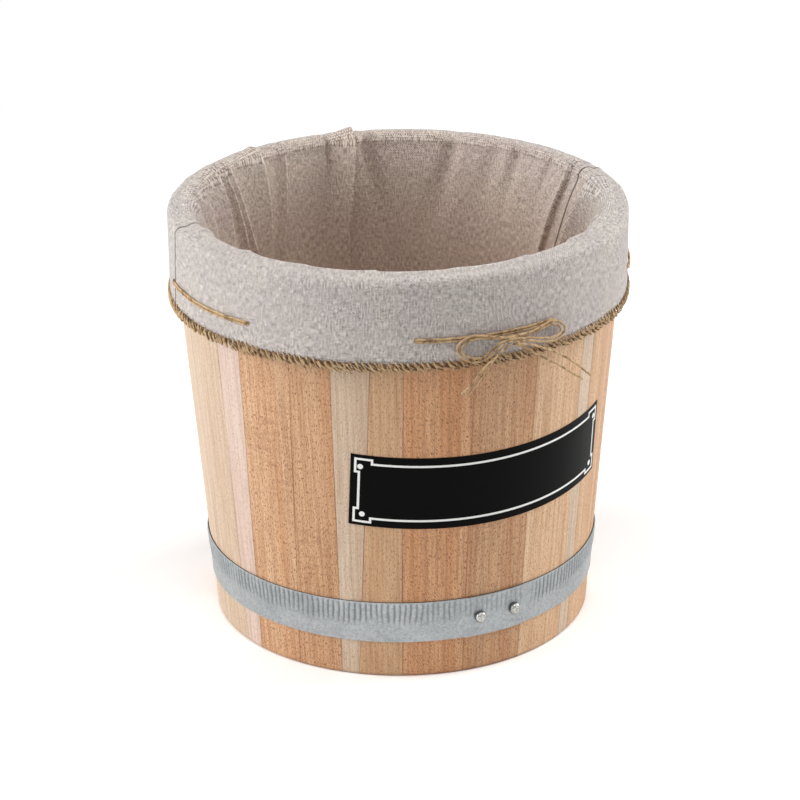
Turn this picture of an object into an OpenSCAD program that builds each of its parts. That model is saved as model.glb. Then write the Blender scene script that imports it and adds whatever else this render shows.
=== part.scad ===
// Wooden firkin: a coopered bucket of tapered staves with galvanised hoops and a plank bottom,
// a blank black label, and a lift-out linen liner with a jute edging, drawstring and bow.
// Millimetres. Z is up, the origin is the centre of the foot, and the label faces -Y.
// Angles go round from the label: 0 is the label's middle, positive towards +X.

/* [Staves] */
// Height of the staves
stave_h = 290; // [260:1:330]
// Outside radius at the foot
foot_r = 130; // [115:1:140]
// Outside radius at the rim
rim_r = 153; // [146:1:165]
// Thickness of the wall
wall = 12; // [9:0.5:14]
// Rounding of the rim's two edges
rim_round = 3; // [1.5:0.5:4]
// Chamfer at the foot
foot_chamfer = 1; // [0.5:0.5:2]
// Width of the hairline between two staves
stave_gap = 0.1; // [0.05:0.05:0.3]

/* [Bottom] */
// Height of the bottom boards above the foot
board_z = 22; // [12:1:30]
// Thickness of the bottom boards
board_t = 10; // [8:0.5:14]
// Depth of the croze that holds the boards
croze_depth = 4; // [2.5:0.5:6]
// Slack of the boards in the croze, and between two boards
board_slack = 0.2; // [0.1:0.05:0.4]

/* [Hoops] */
// Height of the hoop strip
hoop_h = 30; // [20:1:36]
// Thickness of the hoop strip
hoop_t = 0.8; // [0.5:0.1:1]
// Foot of the lower hoop above the foot of the staves
lower_hoop_z = 27; // [15:1:50]
// Top of the upper hoop below the rim
upper_hoop_drop = 27; // [20:1:36]
// Angle over which the two ends of a hoop lap
lap_angle = 17; // [14:0.5:24]
// Angle from one rivet to the next
rivet_pitch = 11; // [8:0.5:14]
// Diameter of the rivet heads
rivet_head_d = 8; // [6:0.5:10]
// Height of the lower hoop's domed heads
dome_head_h = 4.2; // [2:0.1:5]
// Height of the upper hoop's flat heads, which the liner slides over
flat_head_h = 0.6; // [0.4:0.1:0.8]
// Diameter of the rivet shanks
shank_d = 4; // [3:0.5:5]

/* [Label] */
// Length of the label, measured round the wood
label_l = 200; // [120:1:220]
// Height of the label
label_h = 52; // [40:1:80]
// Thickness of the label
label_t = 0.5; // [0.3:0.1:1]
// Height of the label's middle above the foot
label_z = 137.5; // [120:0.5:180]
// Width of the printed line
line_w = 1.5; // [1:0.1:2.5]
// Bare margin outside the printed corners
line_margin = 2.2; // [1.5:0.1:4]
// Length of a printed corner along the label
corner_l = 12.5; // [8:0.5:18]
// Height of a printed corner
corner_h = 11; // [8:0.5:15]
// Step from a corner in to the long lines
step_h = 3; // [2:0.1:5]
// Step from a corner in to the short lines
step_l = 2.6; // [2:0.1:5]
// Diameter of the dot in each corner
dot_d = 3.8; // [2:0.1:5]
// Dot's centre from the label's ends
dot_l = 8; // [6:0.5:12]
// Dot's centre from the label's long edges
dot_h = 8.5; // [6:0.5:12]

/* [Liner] */
// Thickness of the linen
cloth_t = 0.7; // [0.5:0.1:1]
// Gap between the bag and the staves
bag_gap = 0.5; // [0.3:0.1:1]
// Depth from the rim to where the cuff meets the bag
turn_drop = 7; // [5.5:0.5:12]
// Gap between the rim's widest point and the hanging cuff
cuff_gap = 0.9; // [0.7:0.1:2]
// Depth of the cuff from the rim to its hem
cuff_drop = 54.5; // [48:0.5:70]
// Gap between cloth and the wood that it rests on
rest_gap = 0.3; // [0.2:0.1:0.5]
// Reach of the jute edging below the hem
edging_below = 8.5; // [4:0.5:12]
// Reach of the jute edging up over the hem
edging_above = 2.5; // [1:0.5:4]

/* [Drawstring] */
// Diameter of the jute twine
twine_d = 1.6; // [1.2:0.1:2]
// Depth of the drawstring below the rim
string_drop = 39; // [34:0.5:42]
// Angle that each outside stretch of the drawstring covers
stretch_angle = 36; // [20:1:45]
// Height of the slits that the drawstring goes through
slit_h = 5; // [4:0.1:6]
// Length of the bow's knot
knot_l = 8.4; // [7:0.1:9]
// Diameter of the bow's knot
knot_d = 5.8; // [5:0.1:6]

/* [Hidden] */
$fn = 96;
slack = 0.05;          // clearance of a close fit between two rigid pieces
over = 1;              // how far a cutter runs past what it cuts
taper = atan((rim_r - foot_r) / stave_h);
function outer_r(z) = foot_r + (rim_r - foot_r) * z / stave_h;
function inner_r(z) = outer_r(z) - wall;
function rotor(angle) = [0, 0, angle - 90];                    // turns +X to face an angle
function polar(angle, z, r) = [r * sin(angle), -r * cos(angle), z];

// One entry per stave, going round from the left of the label: its width in shares of the round,
// how many degrees its left joint leans, and its tone.
pale = 0;
pink = 1;
tawny = 2;
orange = 3;
brown = 4;
staves = [[8, 0.2, pink], [15.9, 1.6, orange], [12.1, 2, orange], [8.5, 0.4, pale], [9.7, 3.3, tawny],
          [18, 0.6, brown], [18.3, 0.6, orange], [18, 0.3, tawny], [5.3, 0, pale], [14, 0, tawny],
          [11, 1, orange], [17, 0, pale], [9, -1.5, brown], [13, 0, tawny], [16, 0.5, orange],
          [8, 0, pink], [14, 2, tawny], [18, 0, pale], [10, -1, orange], [12, 0, brown],
          [15, 1.5, pale], [9, 0, tawny], [17, -0.5, orange], [13, 0, pink], [16, 1, tawny],
          [18, 0, orange], [16.2, -1, pale]];
stave_tones = ["#E3CAB5", "#E3CABD", "#C1A184", "#C39472", "#B5835B"];
stave_count = len(staves);
first_joint = -80.6;   // angle of the first stave's left joint
lean_spare = 5;        // spare angle on a stave before its leaning joints are cut
shares = [for (s = staves) s[0]];
function sum_to(i) = i <= 0 ? 0 : shares[i - 1] + sum_to(i - 1);
function joint_angle(i) = first_joint + 360 * sum_to(i) / sum_to(stave_count);
function two_digits(n) = str(n < 10 ? "0" : "", n);
function stave_name(i) = str("stave_", two_digits(i + 1));

board_joints = [-62, 3, 60];                                   // where two bottom boards meet, along Y
board_edges = concat([-foot_r], board_joints, [foot_r]);
board_count = len(board_edges) - 1;
board_r = inner_r(board_z) + croze_depth - board_slack;
function board_name(i) = str("bottom_board_", i + 1);

upper_hoop_z = stave_h - upper_hoop_drop - hoop_h;
lower_lap = 1;         // angle of the middle of the lower hoop's lap
upper_lap = 150;       // angle of the middle of the upper hoop's lap
joggle_angle = 3;      // angle over which a hoop steps out on to its own inner end
butt_angle = 0.5;      // angle between that step and the inner end
hoop_fit = 0.1;        // clearance between a hoop and the staves
lap_step = hoop_t + slack;
lap_out = hoop_fit + lap_step + hoop_t;                        // how far a hoop's lap stands out
head_rounding = 0.6;   // share of a rivet head's height that its rounded edge takes
rivet_angles = [-rivet_pitch / 2, rivet_pitch / 2];

label_r = outer_r(label_z);
label_tilt = 7.5;      // the label's ends ride up a little, as on any cone
label_span = label_l / label_r * 180 / PI;                     // angle that the label covers
print_t = 0.12;        // thickness of the printed line
function along(s) = label_r * sin(s / label_r * 180 / PI);     // length round to width seen flat

string_z = stave_h - string_drop;
hem_z = stave_h - cuff_drop;
lift_gap = 0.3;        // clearance past the rim of what hangs inside the cuff
// The farthest that the upper rivets' flat heads stand out, at their tops.
head_out = outer_r(upper_hoop_z + hoop_h / 2 + rivet_head_d / 2)
    + (lap_out + slack + flat_head_h) / cos(taper);
cuff_in = max(rim_r + cuff_gap, head_out + lift_gap);
cuff_out = cuff_in + cloth_t;
top_z = stave_h + rest_gap;
turn_z = stave_h - turn_drop;
bag_foot_z = board_z + board_t + rest_gap + cloth_t + slack;
lay_gap = 0.1;         // clearance between the twine and the cuff or the edging
strand_r = cuff_out + lay_gap + twine_d / 2;
strand_rise = twine_d / 2 + slack;                             // half the distance between two strands
edging_in = rim_r + lift_gap;
edging_out = strand_r + twine_d / 2 + lay_gap;
stretches = [-83, -5.4, 71, 142, 211];                         // middles of the outside stretches
slit_angle = 2.4;      // angle that a slit's opening covers
stub_angle = 1;        // angle of the doubled twine where it goes through a slit
stub_inset = 0.1;      // angle from there to the end of the outside stretch
slit_from_mid = stretch_angle / 2 - stub_inset - stub_angle / 2;

// The liner's two panels meet in seams at its sides: angle at the rim, angle low down.
left_seam = [-97.5, -97];
right_seam = [84, 94];
seam_gap = 0.05;       // angle between the two panels at a seam
// The bag's folds, going round: angle at the rim, angle low down, half width in degrees, depth.
front_folds = [[-91, -90, 4, 5], [-71, -74, 4, 6], [-52, -50, 5, 4], [-33, -30, 4, 7], [-12, -14, 5, 4],
               [8, 5, 4, 6], [27, 29, 5, 4], [46, 43, 4, 6], [70, 84, 4, 6]];
back_folds = [[92, 102, 3, 7], [103, 112, 3, 4], [114, 122, 4, 6], [135, 142, 4, 5], [153, 155, 3, 3],
              [162, 162, 2, 5], [172, 172, 4, 12], [189, 193, 3, 4], [199, 200, 2.5, 7],
              [211, 206, 2.5, 6], [221, 214, 2.5, 5], [231, 222, 3, 6], [246, 240, 4, 4]];
function seam(at, turn) = [at[0] + turn, at[1] + turn, 0, 0];
front_bag = concat([seam(left_seam, seam_gap / 2)], front_folds, [seam(right_seam, -seam_gap / 2)]);
back_bag = concat([seam(right_seam, seam_gap / 2)], back_folds, [seam(left_seam, 360 - seam_gap / 2)]);
front_cuff = [left_seam[0] + seam_gap / 2, right_seam[0] - seam_gap / 2];
back_cuff = [right_seam[0] + seam_gap / 2, left_seam[0] + 360 - seam_gap / 2];
fold_run = 60;         // depth below the rim over which a fold drifts to its low angle
fill_step = 9;         // widest plain stretch of cloth between two upright lines of the bag
// Heights of the bag's rows as shares of its depth, and how deep the folds are at each.
bag_rows = [[0, 0.15], [0.06, 0.8], [0.18, 1], [0.44, 0.6], [0.72, 0.35], [1, 0.1]];

// The bow. Each strand's route is a list of [angle, height, radius], chosen by hand.
knot_at = [-1, 247.4, 159.6];
loop_left_routes = [
    [[-2.6, 249.2, 160.2], [-6, 251, 158.8], [-9, 252.4, 157.6], [-11.6, 250.8, 157.4],
     [-13.4, 246.6, 157.2], [-13.5, 241.6, 157.4], [-11.9, 237, 158], [-9.6, 234.6, 158.4],
     [-7, 235.6, 158.8], [-4.6, 239.8, 159.6], [-2.6, 245, 160.8]],
    [[-2.6, 248.2, 158.4], [-5.8, 249, 157.8], [-8.8, 250.3, 157.4], [-11, 248.6, 157.4],
     [-12.4, 245.6, 157.2], [-12.4, 241.8, 157.6], [-11, 238.8, 158.2], [-9.2, 237.2, 158.6],
     [-7.2, 238, 158.8], [-5.2, 241.8, 159], [-2.6, 246.6, 159.4]]];
loop_right_routes = [
    [[0.6, 249.2, 160.2], [4.5, 248.8, 159.2], [8, 250.2, 158], [10.6, 251.6, 157.4],
     [13.2, 250, 157.4], [15.1, 246, 157.4], [15.3, 242, 157.6], [13.8, 238.8, 158],
     [11.2, 238.2, 158.2], [7.6, 240.2, 158.8], [4.2, 243.4, 159.8], [0.6, 245.2, 160.6]],
    [[0.6, 248.2, 158.4], [4.6, 246.9, 158], [8, 248.2, 157.6], [10.4, 249.4, 157.4],
     [12.4, 248.4, 157.4], [13.9, 245.2, 157.4], [14, 242.6, 157.8], [12.8, 241, 158.2],
     [10.6, 240.8, 158.4], [7.4, 242.6, 158.4], [4.2, 244.9, 158.2], [0.6, 246.5, 159.2]]];
tail_left_routes = [
    [[-1.2, 243.6, 160.4], [-3.1, 240.4, 161.2], [-5.2, 235.4, 160.8], [-7.1, 229.2, 160.2],
     [-8.8, 221.2, 159.6], [-11.2, 213.4, 159.2]],
    [[-1.9, 244.3, 162.2], [-4.2, 239.4, 162.9], [-6.8, 233.6, 162], [-8.6, 227.4, 160.8],
     [-10.6, 219.2, 160], [-12.9, 214.6, 159.6]]];
tail_right_routes = [
    [[0.1, 244.2, 162.2], [4, 241.6, 162.2], [7.8, 236.4, 161.8], [11.6, 230.6, 161.2],
     [15.6, 223, 160.8], [19.8, 213.8, 160.4], [23.8, 204.6, 160]],
    [[-0.2, 243.6, 160], [2.8, 239.8, 160.4], [5.6, 234.2, 160.8], [8.8, 228, 160.8],
     [12.6, 221, 160.6], [16.6, 212.8, 160.2], [20.8, 204.4, 160]]];
bow_routes = concat(loop_left_routes, loop_right_routes, tail_left_routes, tail_right_routes);
strand_sides = 8;

// ---- Staves -------------------------------------------------------------------------------------

// Points of an arc about a centre [r, z], from one angle to another.
function arc(centre, radius, from, to, steps = 4) =
    [for (k = [0 : steps]) let (a = from + (to - from) * k / steps) centre + radius * [cos(a), sin(a)]];

// Section of the wall in [r, z]: chamfered foot, rounded rim, and the croze.
module stave_section() {
    rim_z = stave_h - rim_round;
    round_in = rim_round / cos(taper);
    difference() {
        polygon(concat(
            [[inner_r(foot_chamfer), foot_chamfer], [inner_r(0) + foot_chamfer, 0],
             [outer_r(0) - foot_chamfer, 0], [outer_r(foot_chamfer), foot_chamfer]],
            arc([outer_r(rim_z) - round_in, rim_z], rim_round, -taper, 90),
            arc([inner_r(rim_z) + round_in, rim_z], rim_round, 90, 180 - taper)));
        translate([inner_r(board_z) - over, board_z])
            square([croze_depth + over, board_t + board_slack]);
    }
}

// Cuts away everything on one side of a joint: side 1 is past it, side -1 before it.
module beyond_joint(i, side) {
    reach = 2 * rim_r;
    rotate(rotor(joint_angle(i)))
        translate([0, 0, stave_h / 2])
        rotate([-staves[i % stave_count][1], 0, 0])
        translate([0, side > 0 ? -stave_gap / 2 : stave_gap / 2 - reach, -stave_h])
            cube([reach, reach, 2 * stave_h]);
}

module stave(i) {
    color(stave_tones[staves[i][2]])
    difference() {
        rotate(rotor(joint_angle(i) - lean_spare))
            rotate_extrude(angle = joint_angle(i + 1) - joint_angle(i) + 2 * lean_spare)
            stave_section();
        beyond_joint(i, -1);
        beyond_joint(i + 1, 1);
    }
}

// ---- Bottom -------------------------------------------------------------------------------------

module bottom_board(i) {
    near = board_edges[i] + board_slack / 2;
    far = board_edges[i + 1] - board_slack / 2;
    color("#CDA98A")
    translate([0, 0, board_z])
    intersection() {
        cylinder(r = board_r, h = board_t);
        translate([-foot_r, near, -over]) cube([2 * foot_r, far - near, board_t + 2 * over]);
    }
}

// ---- Hoops --------------------------------------------------------------------------------------

// Section in [r, z] of a skin that lies on the staves, some way out from them.
module skin_section(z, h, out, thick) {
    polygon([[outer_r(z) + out, z], [outer_r(z + h) + out, z + h],
             [outer_r(z + h) + out + thick, z + h], [outer_r(z) + out + thick, z]]);
}

// Puts a piece on the staves' outside with its own Z square to the wood.
module on_wall(angle, z) {
    rotate(rotor(angle)) translate([outer_r(z), 0, z]) rotate([0, 90 + taper, 0]) children();
}

// Part of a ring with the given section, from one angle to another.
module sector(from, to) {
    rotate(rotor(from)) rotate_extrude(angle = to - from) children();
}

// A strip that goes once round, steps out over its own inner end and laps it. It is cut from a
// ring as thick as the lap: outside the strip, between the two ends, and behind the outer one.
module hoop(z, lap) {
    inner_end = lap - lap_angle / 2;
    step_end = inner_end - butt_angle;
    outer_end = inner_end + lap_angle;
    low = z - over;
    tall = hoop_h + 2 * over;
    color("#B4B4B1")
    difference() {
        rotate_extrude() skin_section(z, hoop_h, hoop_fit, lap_step + hoop_t);
        sector(outer_end, step_end - joggle_angle + 360)
            skin_section(low, tall, hoop_fit + hoop_t, lap_step + over);
        sector(step_end, outer_end) skin_section(low, tall, hoop_fit + hoop_t, slack);
        sector(step_end, inner_end) skin_section(low, tall, hoop_fit - over, lap_step + over);
        for (a = rivet_angles) on_wall(lap + a, z + hoop_h / 2)
            cylinder(d = shank_d + 2 * slack, h = 2 * (lap_out + over), center = true);
    }
}

// A rivet: shank through both laps, and a head with a domed edge.
module rivet(head_h) {
    seat = lap_out + slack;
    edge = min(head_h, rivet_head_d / 2) * head_rounding;
    rotate_extrude()
        polygon(concat(
            [[0, slack], [shank_d / 2, slack], [shank_d / 2, seat], [rivet_head_d / 2, seat]],
            arc([rivet_head_d / 2 - edge, seat + head_h - edge], edge, 0, 90),
            [[0, seat + head_h]]));
}

module hoop_rivets(z, lap, head_h) {
    color("#C4C4C0")
    for (a = rivet_angles) on_wall(lap + a, z + hoop_h / 2) rivet(head_h);
}

// ---- Label --------------------------------------------------------------------------------------

// Wraps a flat drawing on to the wood at the label's place.
module wrapped(out, thick) {
    low = label_z - label_h;
    intersection() {
        rotate(rotor(-label_span / 2 - over)) rotate_extrude(angle = label_span + 2 * over)
            skin_section(low, 2 * label_h, out, thick);
        translate([0, -label_r, label_z]) rotate([90 + label_tilt, 0, 0])
            translate([0, 0, -label_r]) linear_extrude(height = 1.5 * label_r) children();
    }
}

// A rectangle given by its ends round the wood and its heights from the label's middle.
module flat_patch(s0, s1, t0, t1) {
    translate([along(s0), t0]) square([along(s1) - along(s0), t1 - t0]);
}

// The printed frame's outline, drawn smaller by an inset: a long middle and four corners.
module frame_outline(inset) {
    end = label_l / 2 - line_margin - inset;
    top = label_h / 2 - line_margin - inset;
    flat_patch(-end + step_l, end - step_l, -top + step_h, top - step_h);
    for (s = [-1, 1], t = [-1, 1]) {
        s_far = s * end;
        s_near = s * (end - corner_l + 2 * inset);
        t_far = t * top;
        t_near = t * (top - corner_h + 2 * inset);
        flat_patch(min(s_far, s_near), max(s_far, s_near), min(t_far, t_near), max(t_far, t_near));
    }
}

module label_panel() {
    color("#101010")
    wrapped(slack, label_t) flat_patch(-label_l / 2, label_l / 2, -label_h / 2, label_h / 2);
}

module label_dot(s, t) {
    angle = s / label_r * 180 / PI;
    ride = (label_r - label_r * cos(angle)) * tan(label_tilt);
    intersection() {
        on_wall(angle, label_z + t + ride) cylinder(d = dot_d, h = 3 * label_t);
        rotate_extrude() skin_section(label_z - label_h, 2 * label_h, slack + label_t, print_t);
    }
}

module label_border() {
    color("#F2F2EE") {
        wrapped(slack + label_t, print_t) difference() {
            frame_outline(0);
            frame_outline(line_w);
        }
        for (s = [-1, 1], t = [-1, 1])
            label_dot(s * (label_l / 2 - dot_l), t * (label_h / 2 - dot_h));
    }
}

// ---- Liner --------------------------------------------------------------------------------------

// A panel's upright lines at one height: [angle, depth of the fold there]. A seam is one line, a
// fold is three, and plain stretches between them get lines of their own.
function fold_angle(f, z) = f[0] + (f[1] - f[0]) * min(1, (turn_z - z) / fold_run);
function fold_lines(f, a) = f[2] == 0 ? [[a, 0]] : [[a - f[2], 0], [a, f[3]], [a + f[2], 0]];
function between(f, g, z) =
    let (count = max(0, ceil((g[0] - g[2] - f[0] - f[2]) / fill_step) - 1),
         from = fold_angle(f, z) + f[2], to = fold_angle(g, z) - g[2])
    [for (k = [1 : 1 : count]) [from + (to - from) * k / (count + 1), 0]];
function bag_lines(panel, z) = [for (i = [0 : len(panel) - 1])
    each concat(fold_lines(panel[i], fold_angle(panel[i], z)),
                i == len(panel) - 1 ? [] : between(panel[i], panel[i + 1], z))];

// A panel of the bag's wall, hugging the staves and standing off them at its folds.
module bag_panel(panel) {
    top = turn_z - slack;
    heights = [for (row = bag_rows) top + (bag_foot_z - top) * row[0]];
    rows = len(bag_rows);
    foot = rows - 1;
    count = len(bag_lines(panel, top));
    end = count - 1;
    function ring(j, inward) = [for (line = bag_lines(panel, heights[j]))
        polar(line[0], heights[j], inner_r(heights[j]) - bag_gap - inward - line[1] * bag_rows[j][1])];
    function at(side, j, i) = (side * rows + j) * count + i;
    function quad(a, b, c, d) = [[a, b, c], [a, c, d]];
    color("#A08C7C")
    polyhedron(
        points = [for (side = [0, 1], j = [0 : rows - 1]) each ring(j, side * cloth_t)],
        faces = concat(
            [for (j = [0 : foot - 1], i = [0 : end - 1])
                each quad(at(0, j, i), at(0, j, i + 1), at(0, j + 1, i + 1), at(0, j + 1, i))],
            [for (j = [0 : foot - 1], i = [0 : end - 1])
                each quad(at(1, j, i), at(1, j + 1, i), at(1, j + 1, i + 1), at(1, j, i + 1))],
            [for (i = [0 : end - 1])
                each quad(at(0, 0, i), at(1, 0, i), at(1, 0, i + 1), at(0, 0, i + 1))],
            [for (i = [0 : end - 1])
                each quad(at(0, foot, i), at(0, foot, i + 1), at(1, foot, i + 1), at(1, foot, i))],
            [for (j = [0 : foot - 1])
                each quad(at(0, j, 0), at(0, j + 1, 0), at(1, j + 1, 0), at(1, j, 0))],
            [for (j = [0 : foot - 1])
                each quad(at(0, j, end), at(1, j, end), at(1, j + 1, end), at(0, j + 1, end))]));
}

module liner_base() {
    base_z = board_z + board_t + rest_gap;
    color("#A08C7C")
    translate([0, 0, base_z]) cylinder(r = inner_r(base_z) - bag_gap, h = cloth_t);
}

// Section of the cuff in [r, z]: up from the bag, over the rim and straight down to the hem.
module cuff_section() {
    leg_in = inner_r(turn_z) - bag_gap;
    round_in = rim_round + bag_gap + slack;
    round_out = rim_round + cuff_gap;
    centre_in = [leg_in + round_in, top_z - round_in];
    centre_out = [cuff_in - round_out, top_z - round_out];
    polygon(concat(
        [[leg_in, turn_z]], arc(centre_in, round_in, 180, 90),
        arc(centre_out, round_out, 90, 0), [[cuff_in, hem_z]],
        [[cuff_out, hem_z]], arc(centre_out, round_out + cloth_t, 0, 90),
        arc(centre_in, round_in + cloth_t, 90, 180), [[leg_in - cloth_t, turn_z]]));
}

// A panel of the cuff, from one seam to the other, with the drawstring's slits.
module cuff_panel(ends) {
    color("#BDB4AC")
    difference() {
        sector(ends[0], ends[1]) cuff_section();
        for (mid = stretches, side = [-1, 1])
            sector(mid + side * slit_from_mid - slit_angle / 2, mid + side * slit_from_mid + slit_angle / 2)
                translate([rim_r, string_z - slit_h / 2]) square([2 * cloth_t + cuff_gap, slit_h]);
    }
}

// The looped jute along the hem, as a ring that takes the hem into its top.
module cuff_edging() {
    low = hem_z - edging_below;
    color("#B08B5E")
    rotate_extrude() union() {
        translate([edging_in, low]) square([edging_out - edging_in, edging_below - slack]);
        translate([cuff_out + slack, low])
            square([edging_out - cuff_out - slack, edging_below + edging_above]);
    }
}

// ---- Drawstring and bow -------------------------------------------------------------------------

module drawstring() {
    count = len(stretches);
    half = stretch_angle / 2;
    flat_h = 2 * strand_rise + twine_d;
    hole = slit_from_mid;
    color("#B08B5E")
    for (i = [0 : count - 1]) {
        mid = stretches[i];
        next = stretches[(i + 1) % count] + (i == count - 1 ? 360 : 0);
        for (side = [-1, 1]) {
            sector(mid - half, mid + half)
                translate([strand_r, string_z + side * strand_rise]) circle(d = twine_d, $fn = 24);
            sector(mid + side * hole - stub_angle / 2, mid + side * hole + stub_angle / 2)
                translate([edging_in, string_z - strand_rise])
                square([strand_r - edging_in, 2 * strand_rise]);
        }
        sector(mid + hole, next - hole)
            translate([edging_in, string_z - flat_h / 2])
            square([cuff_in - slack - edging_in, flat_h]);
    }
}

// The knot: a short barrel lying along the cuff, in front of the drawstring.
module bow_knot() {
    edge = knot_d / 4;
    color("#B08B5E")
    translate(polar(knot_at[0], knot_at[1], knot_at[2])) rotate([0, 90, knot_at[0]])
    rotate_extrude()
        polygon(concat(
            [[0, -knot_l / 2]], arc([knot_d / 2 - edge, -knot_l / 2 + edge], edge, -90, 0),
            arc([knot_d / 2 - edge, knot_l / 2 - edge], edge, 0, 90), [[0, knot_l / 2]]));
}

// A smooth curve through a route's points, with one extra point between each two.
function bend(a, b, c, d) = (9 * (b + c) - a - d) / 16;
function smooth(p) = let (n = len(p) - 1) [for (i = [0 : n])
    each i == n ? [p[n]] : [p[i], bend(p[max(0, i - 1)], p[i], p[i + 1], p[min(n, i + 2)])]];
function strand_points(route) = smooth([for (q = route) polar(q[0], q[1], q[2])]);

// A round twine along a route. Each ring is squared to the route, with one side kept outward.
module strand(route) {
    p = strand_points(route);
    n = len(p) - 1;
    sides = strand_sides;
    function unit(v) = v / norm(v);
    function ring(i) =
        let (along = unit(p[min(n, i + 1)] - p[max(0, i - 1)]),
             out = unit([p[i][0], p[i][1], 0]),
             up = unit(out - (out * along) * along),
             side = cross(along, up))
        [for (k = [0 : sides - 1]) let (a = 360 * k / sides)
            p[i] + twine_d / 2 * (cos(a) * up + sin(a) * side)];
    polyhedron(
        points = [for (i = [0 : n]) each ring(i)],
        faces = concat(
            [for (i = [0 : n - 1], k = [0 : sides - 1])
                let (a = i * sides + k, b = i * sides + (k + 1) % sides)
                each [[a, a + sides, b + sides], [a, b + sides, b]]],
            [for (k = [1 : sides - 2]) [0, k, k + 1]],
            [for (k = [1 : sides - 2]) [n * sides, n * sides + k + 1, n * sides + k]]));
}

module strands(routes) {
    color("#B08B5E") for (route = routes) strand(route);
}

// Prints the least gap between two strands of the bow, measured between their points.
bow_points = [for (route = bow_routes) strand_points(route)];
strand_gaps = [for (i = [0 : len(bow_points) - 2], j = [i + 1 : len(bow_points) - 1])
    min([for (a = bow_points[i], b = bow_points[j]) norm(a - b)]) - twine_d];
echo(str("least gap between two strands of the bow: ", min(strand_gaps), " mm"));

// ---- The pieces ---------------------------------------------------------------------------------

for (i = [0 : stave_count - 1]) stave(i);
for (i = [0 : board_count - 1]) bottom_board(i);
hoop(lower_hoop_z, lower_lap);  // lower_hoop
hoop_rivets(lower_hoop_z, lower_lap, dome_head_h);  // lower_hoop_rivets
hoop(upper_hoop_z, upper_lap);  // upper_hoop
hoop_rivets(upper_hoop_z, upper_lap, flat_head_h);  // upper_hoop_rivets
label_panel();
label_border();
bag_panel(front_bag);  // liner_bag_front
bag_panel(back_bag);  // liner_bag_back
liner_base();
cuff_panel(front_cuff);  // liner_cuff_front
cuff_panel(back_cuff);  // liner_cuff_back
cuff_edging();
drawstring();
bow_knot();
strands(loop_left_routes);  // bow_loop_left
strands(loop_right_routes);  // bow_loop_right
strands(tail_left_routes);  // bow_tail_left
strands(tail_right_routes);  // bow_tail_right
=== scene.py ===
# %% [markdown]
# # A wooden firkin with a linen liner
#
# A firkin is a small coopered bucket: tapered staves stand edge to edge in a ring, and metal hoops
# pull them tight. This one is dressed with a linen liner that turns over the rim, a jute edging
# worked along the liner's hem, and a drawstring tied in a bow above a blank black label.
#
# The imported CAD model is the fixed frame: it gives every size, place and moving part. This script
# gives the firkin its looks, in metres, with Z up, the foot at zero and the label facing -Y.

# %% Load the frame
import math

import bpy
import numpy as np
from mathutils import Matrix, Vector, noise


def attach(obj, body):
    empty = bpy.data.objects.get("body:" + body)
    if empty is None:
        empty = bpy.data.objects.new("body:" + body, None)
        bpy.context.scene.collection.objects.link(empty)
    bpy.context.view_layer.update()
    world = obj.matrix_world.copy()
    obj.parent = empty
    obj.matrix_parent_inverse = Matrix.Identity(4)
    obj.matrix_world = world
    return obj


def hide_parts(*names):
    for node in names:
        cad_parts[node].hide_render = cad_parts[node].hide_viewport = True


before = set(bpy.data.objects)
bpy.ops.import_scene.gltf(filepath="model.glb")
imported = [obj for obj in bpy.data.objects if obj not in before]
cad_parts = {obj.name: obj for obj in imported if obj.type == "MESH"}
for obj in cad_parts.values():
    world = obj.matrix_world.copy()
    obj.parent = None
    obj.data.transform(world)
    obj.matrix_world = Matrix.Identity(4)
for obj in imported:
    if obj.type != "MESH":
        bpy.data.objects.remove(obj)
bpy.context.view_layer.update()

# %% [markdown]
# ## Places on the firkin
#
# A cooper thinks of a bucket as a cone cut off at both ends. Here a place on it is an angle round
# from the label, a height above the foot and a radius, all in the CAD model's own sizes, so a
# piece made from them needs no fitting.

# %% Sizes, and a place from an angle, a height and a radius
STAVE_H, FOOT_R, RIM_R, WALL = 0.290, 0.130, 0.153, 0.012
TAPER = math.atan((RIM_R - FOOT_R) / STAVE_H)
SLACK = 0.00005


def outer_r(z):
    """The wall's outer radius at a height."""
    return FOOT_R + (RIM_R - FOOT_R) * z / STAVE_H


def inner_r(z):
    return outer_r(z) - WALL


def place(angle, z, r):
    """The point at an angle in degrees, a height and a radius."""
    turn = math.radians(angle)
    return Vector((r * math.sin(turn), -r * math.cos(turn), z))


def held(share):
    """A share, held between 0 and 1."""
    return min(1.0, max(0.0, share))


print("taper of the wall:", round(math.degrees(TAPER), 2), "degrees")

# %% [markdown]
# ## The camera
#
# The photograph looks down on the firkin from a little left of the label with a long lens, so its
# uprights hardly converge. The direction, distance and lens were worked out from the outlines of
# the rim, hoop and label. The lamps are aimed in the same way later.

# %% Set up the camera
FIRKIN_MIDDLE = Vector((0, 0, 0.145))
CAMERA_ROUND, CAMERA_UP, CAMERA_ROLL = -26.9, 23.09, -0.62
CAMERA_DISTANCE, CAMERA_LENS = 2.026, 132.2


def aim(name, data, angle, up, distance, roll=0.0):
    """Puts a camera or a lamp in the scene, looking at the firkin's middle."""
    way = place(angle, math.sin(math.radians(up)), math.cos(math.radians(up)))
    held = bpy.data.objects.new(name, data)
    held.matrix_world = (Matrix.Translation(FIRKIN_MIDDLE + way * distance)
                         @ way.to_track_quat("Z", "Y").to_matrix().to_4x4()
                         @ Matrix.Rotation(math.radians(roll), 4, "Z"))
    bpy.context.scene.collection.objects.link(held)
    return held


lens = bpy.data.cameras.new("photo_camera")
lens.lens, lens.sensor_width = CAMERA_LENS, 36
camera = aim("photo_camera", lens, CAMERA_ROUND, CAMERA_UP, CAMERA_DISTANCE, CAMERA_ROLL)
bpy.context.scene.camera = camera
print("camera at", [round(v, 3) for v in camera.location])

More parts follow.
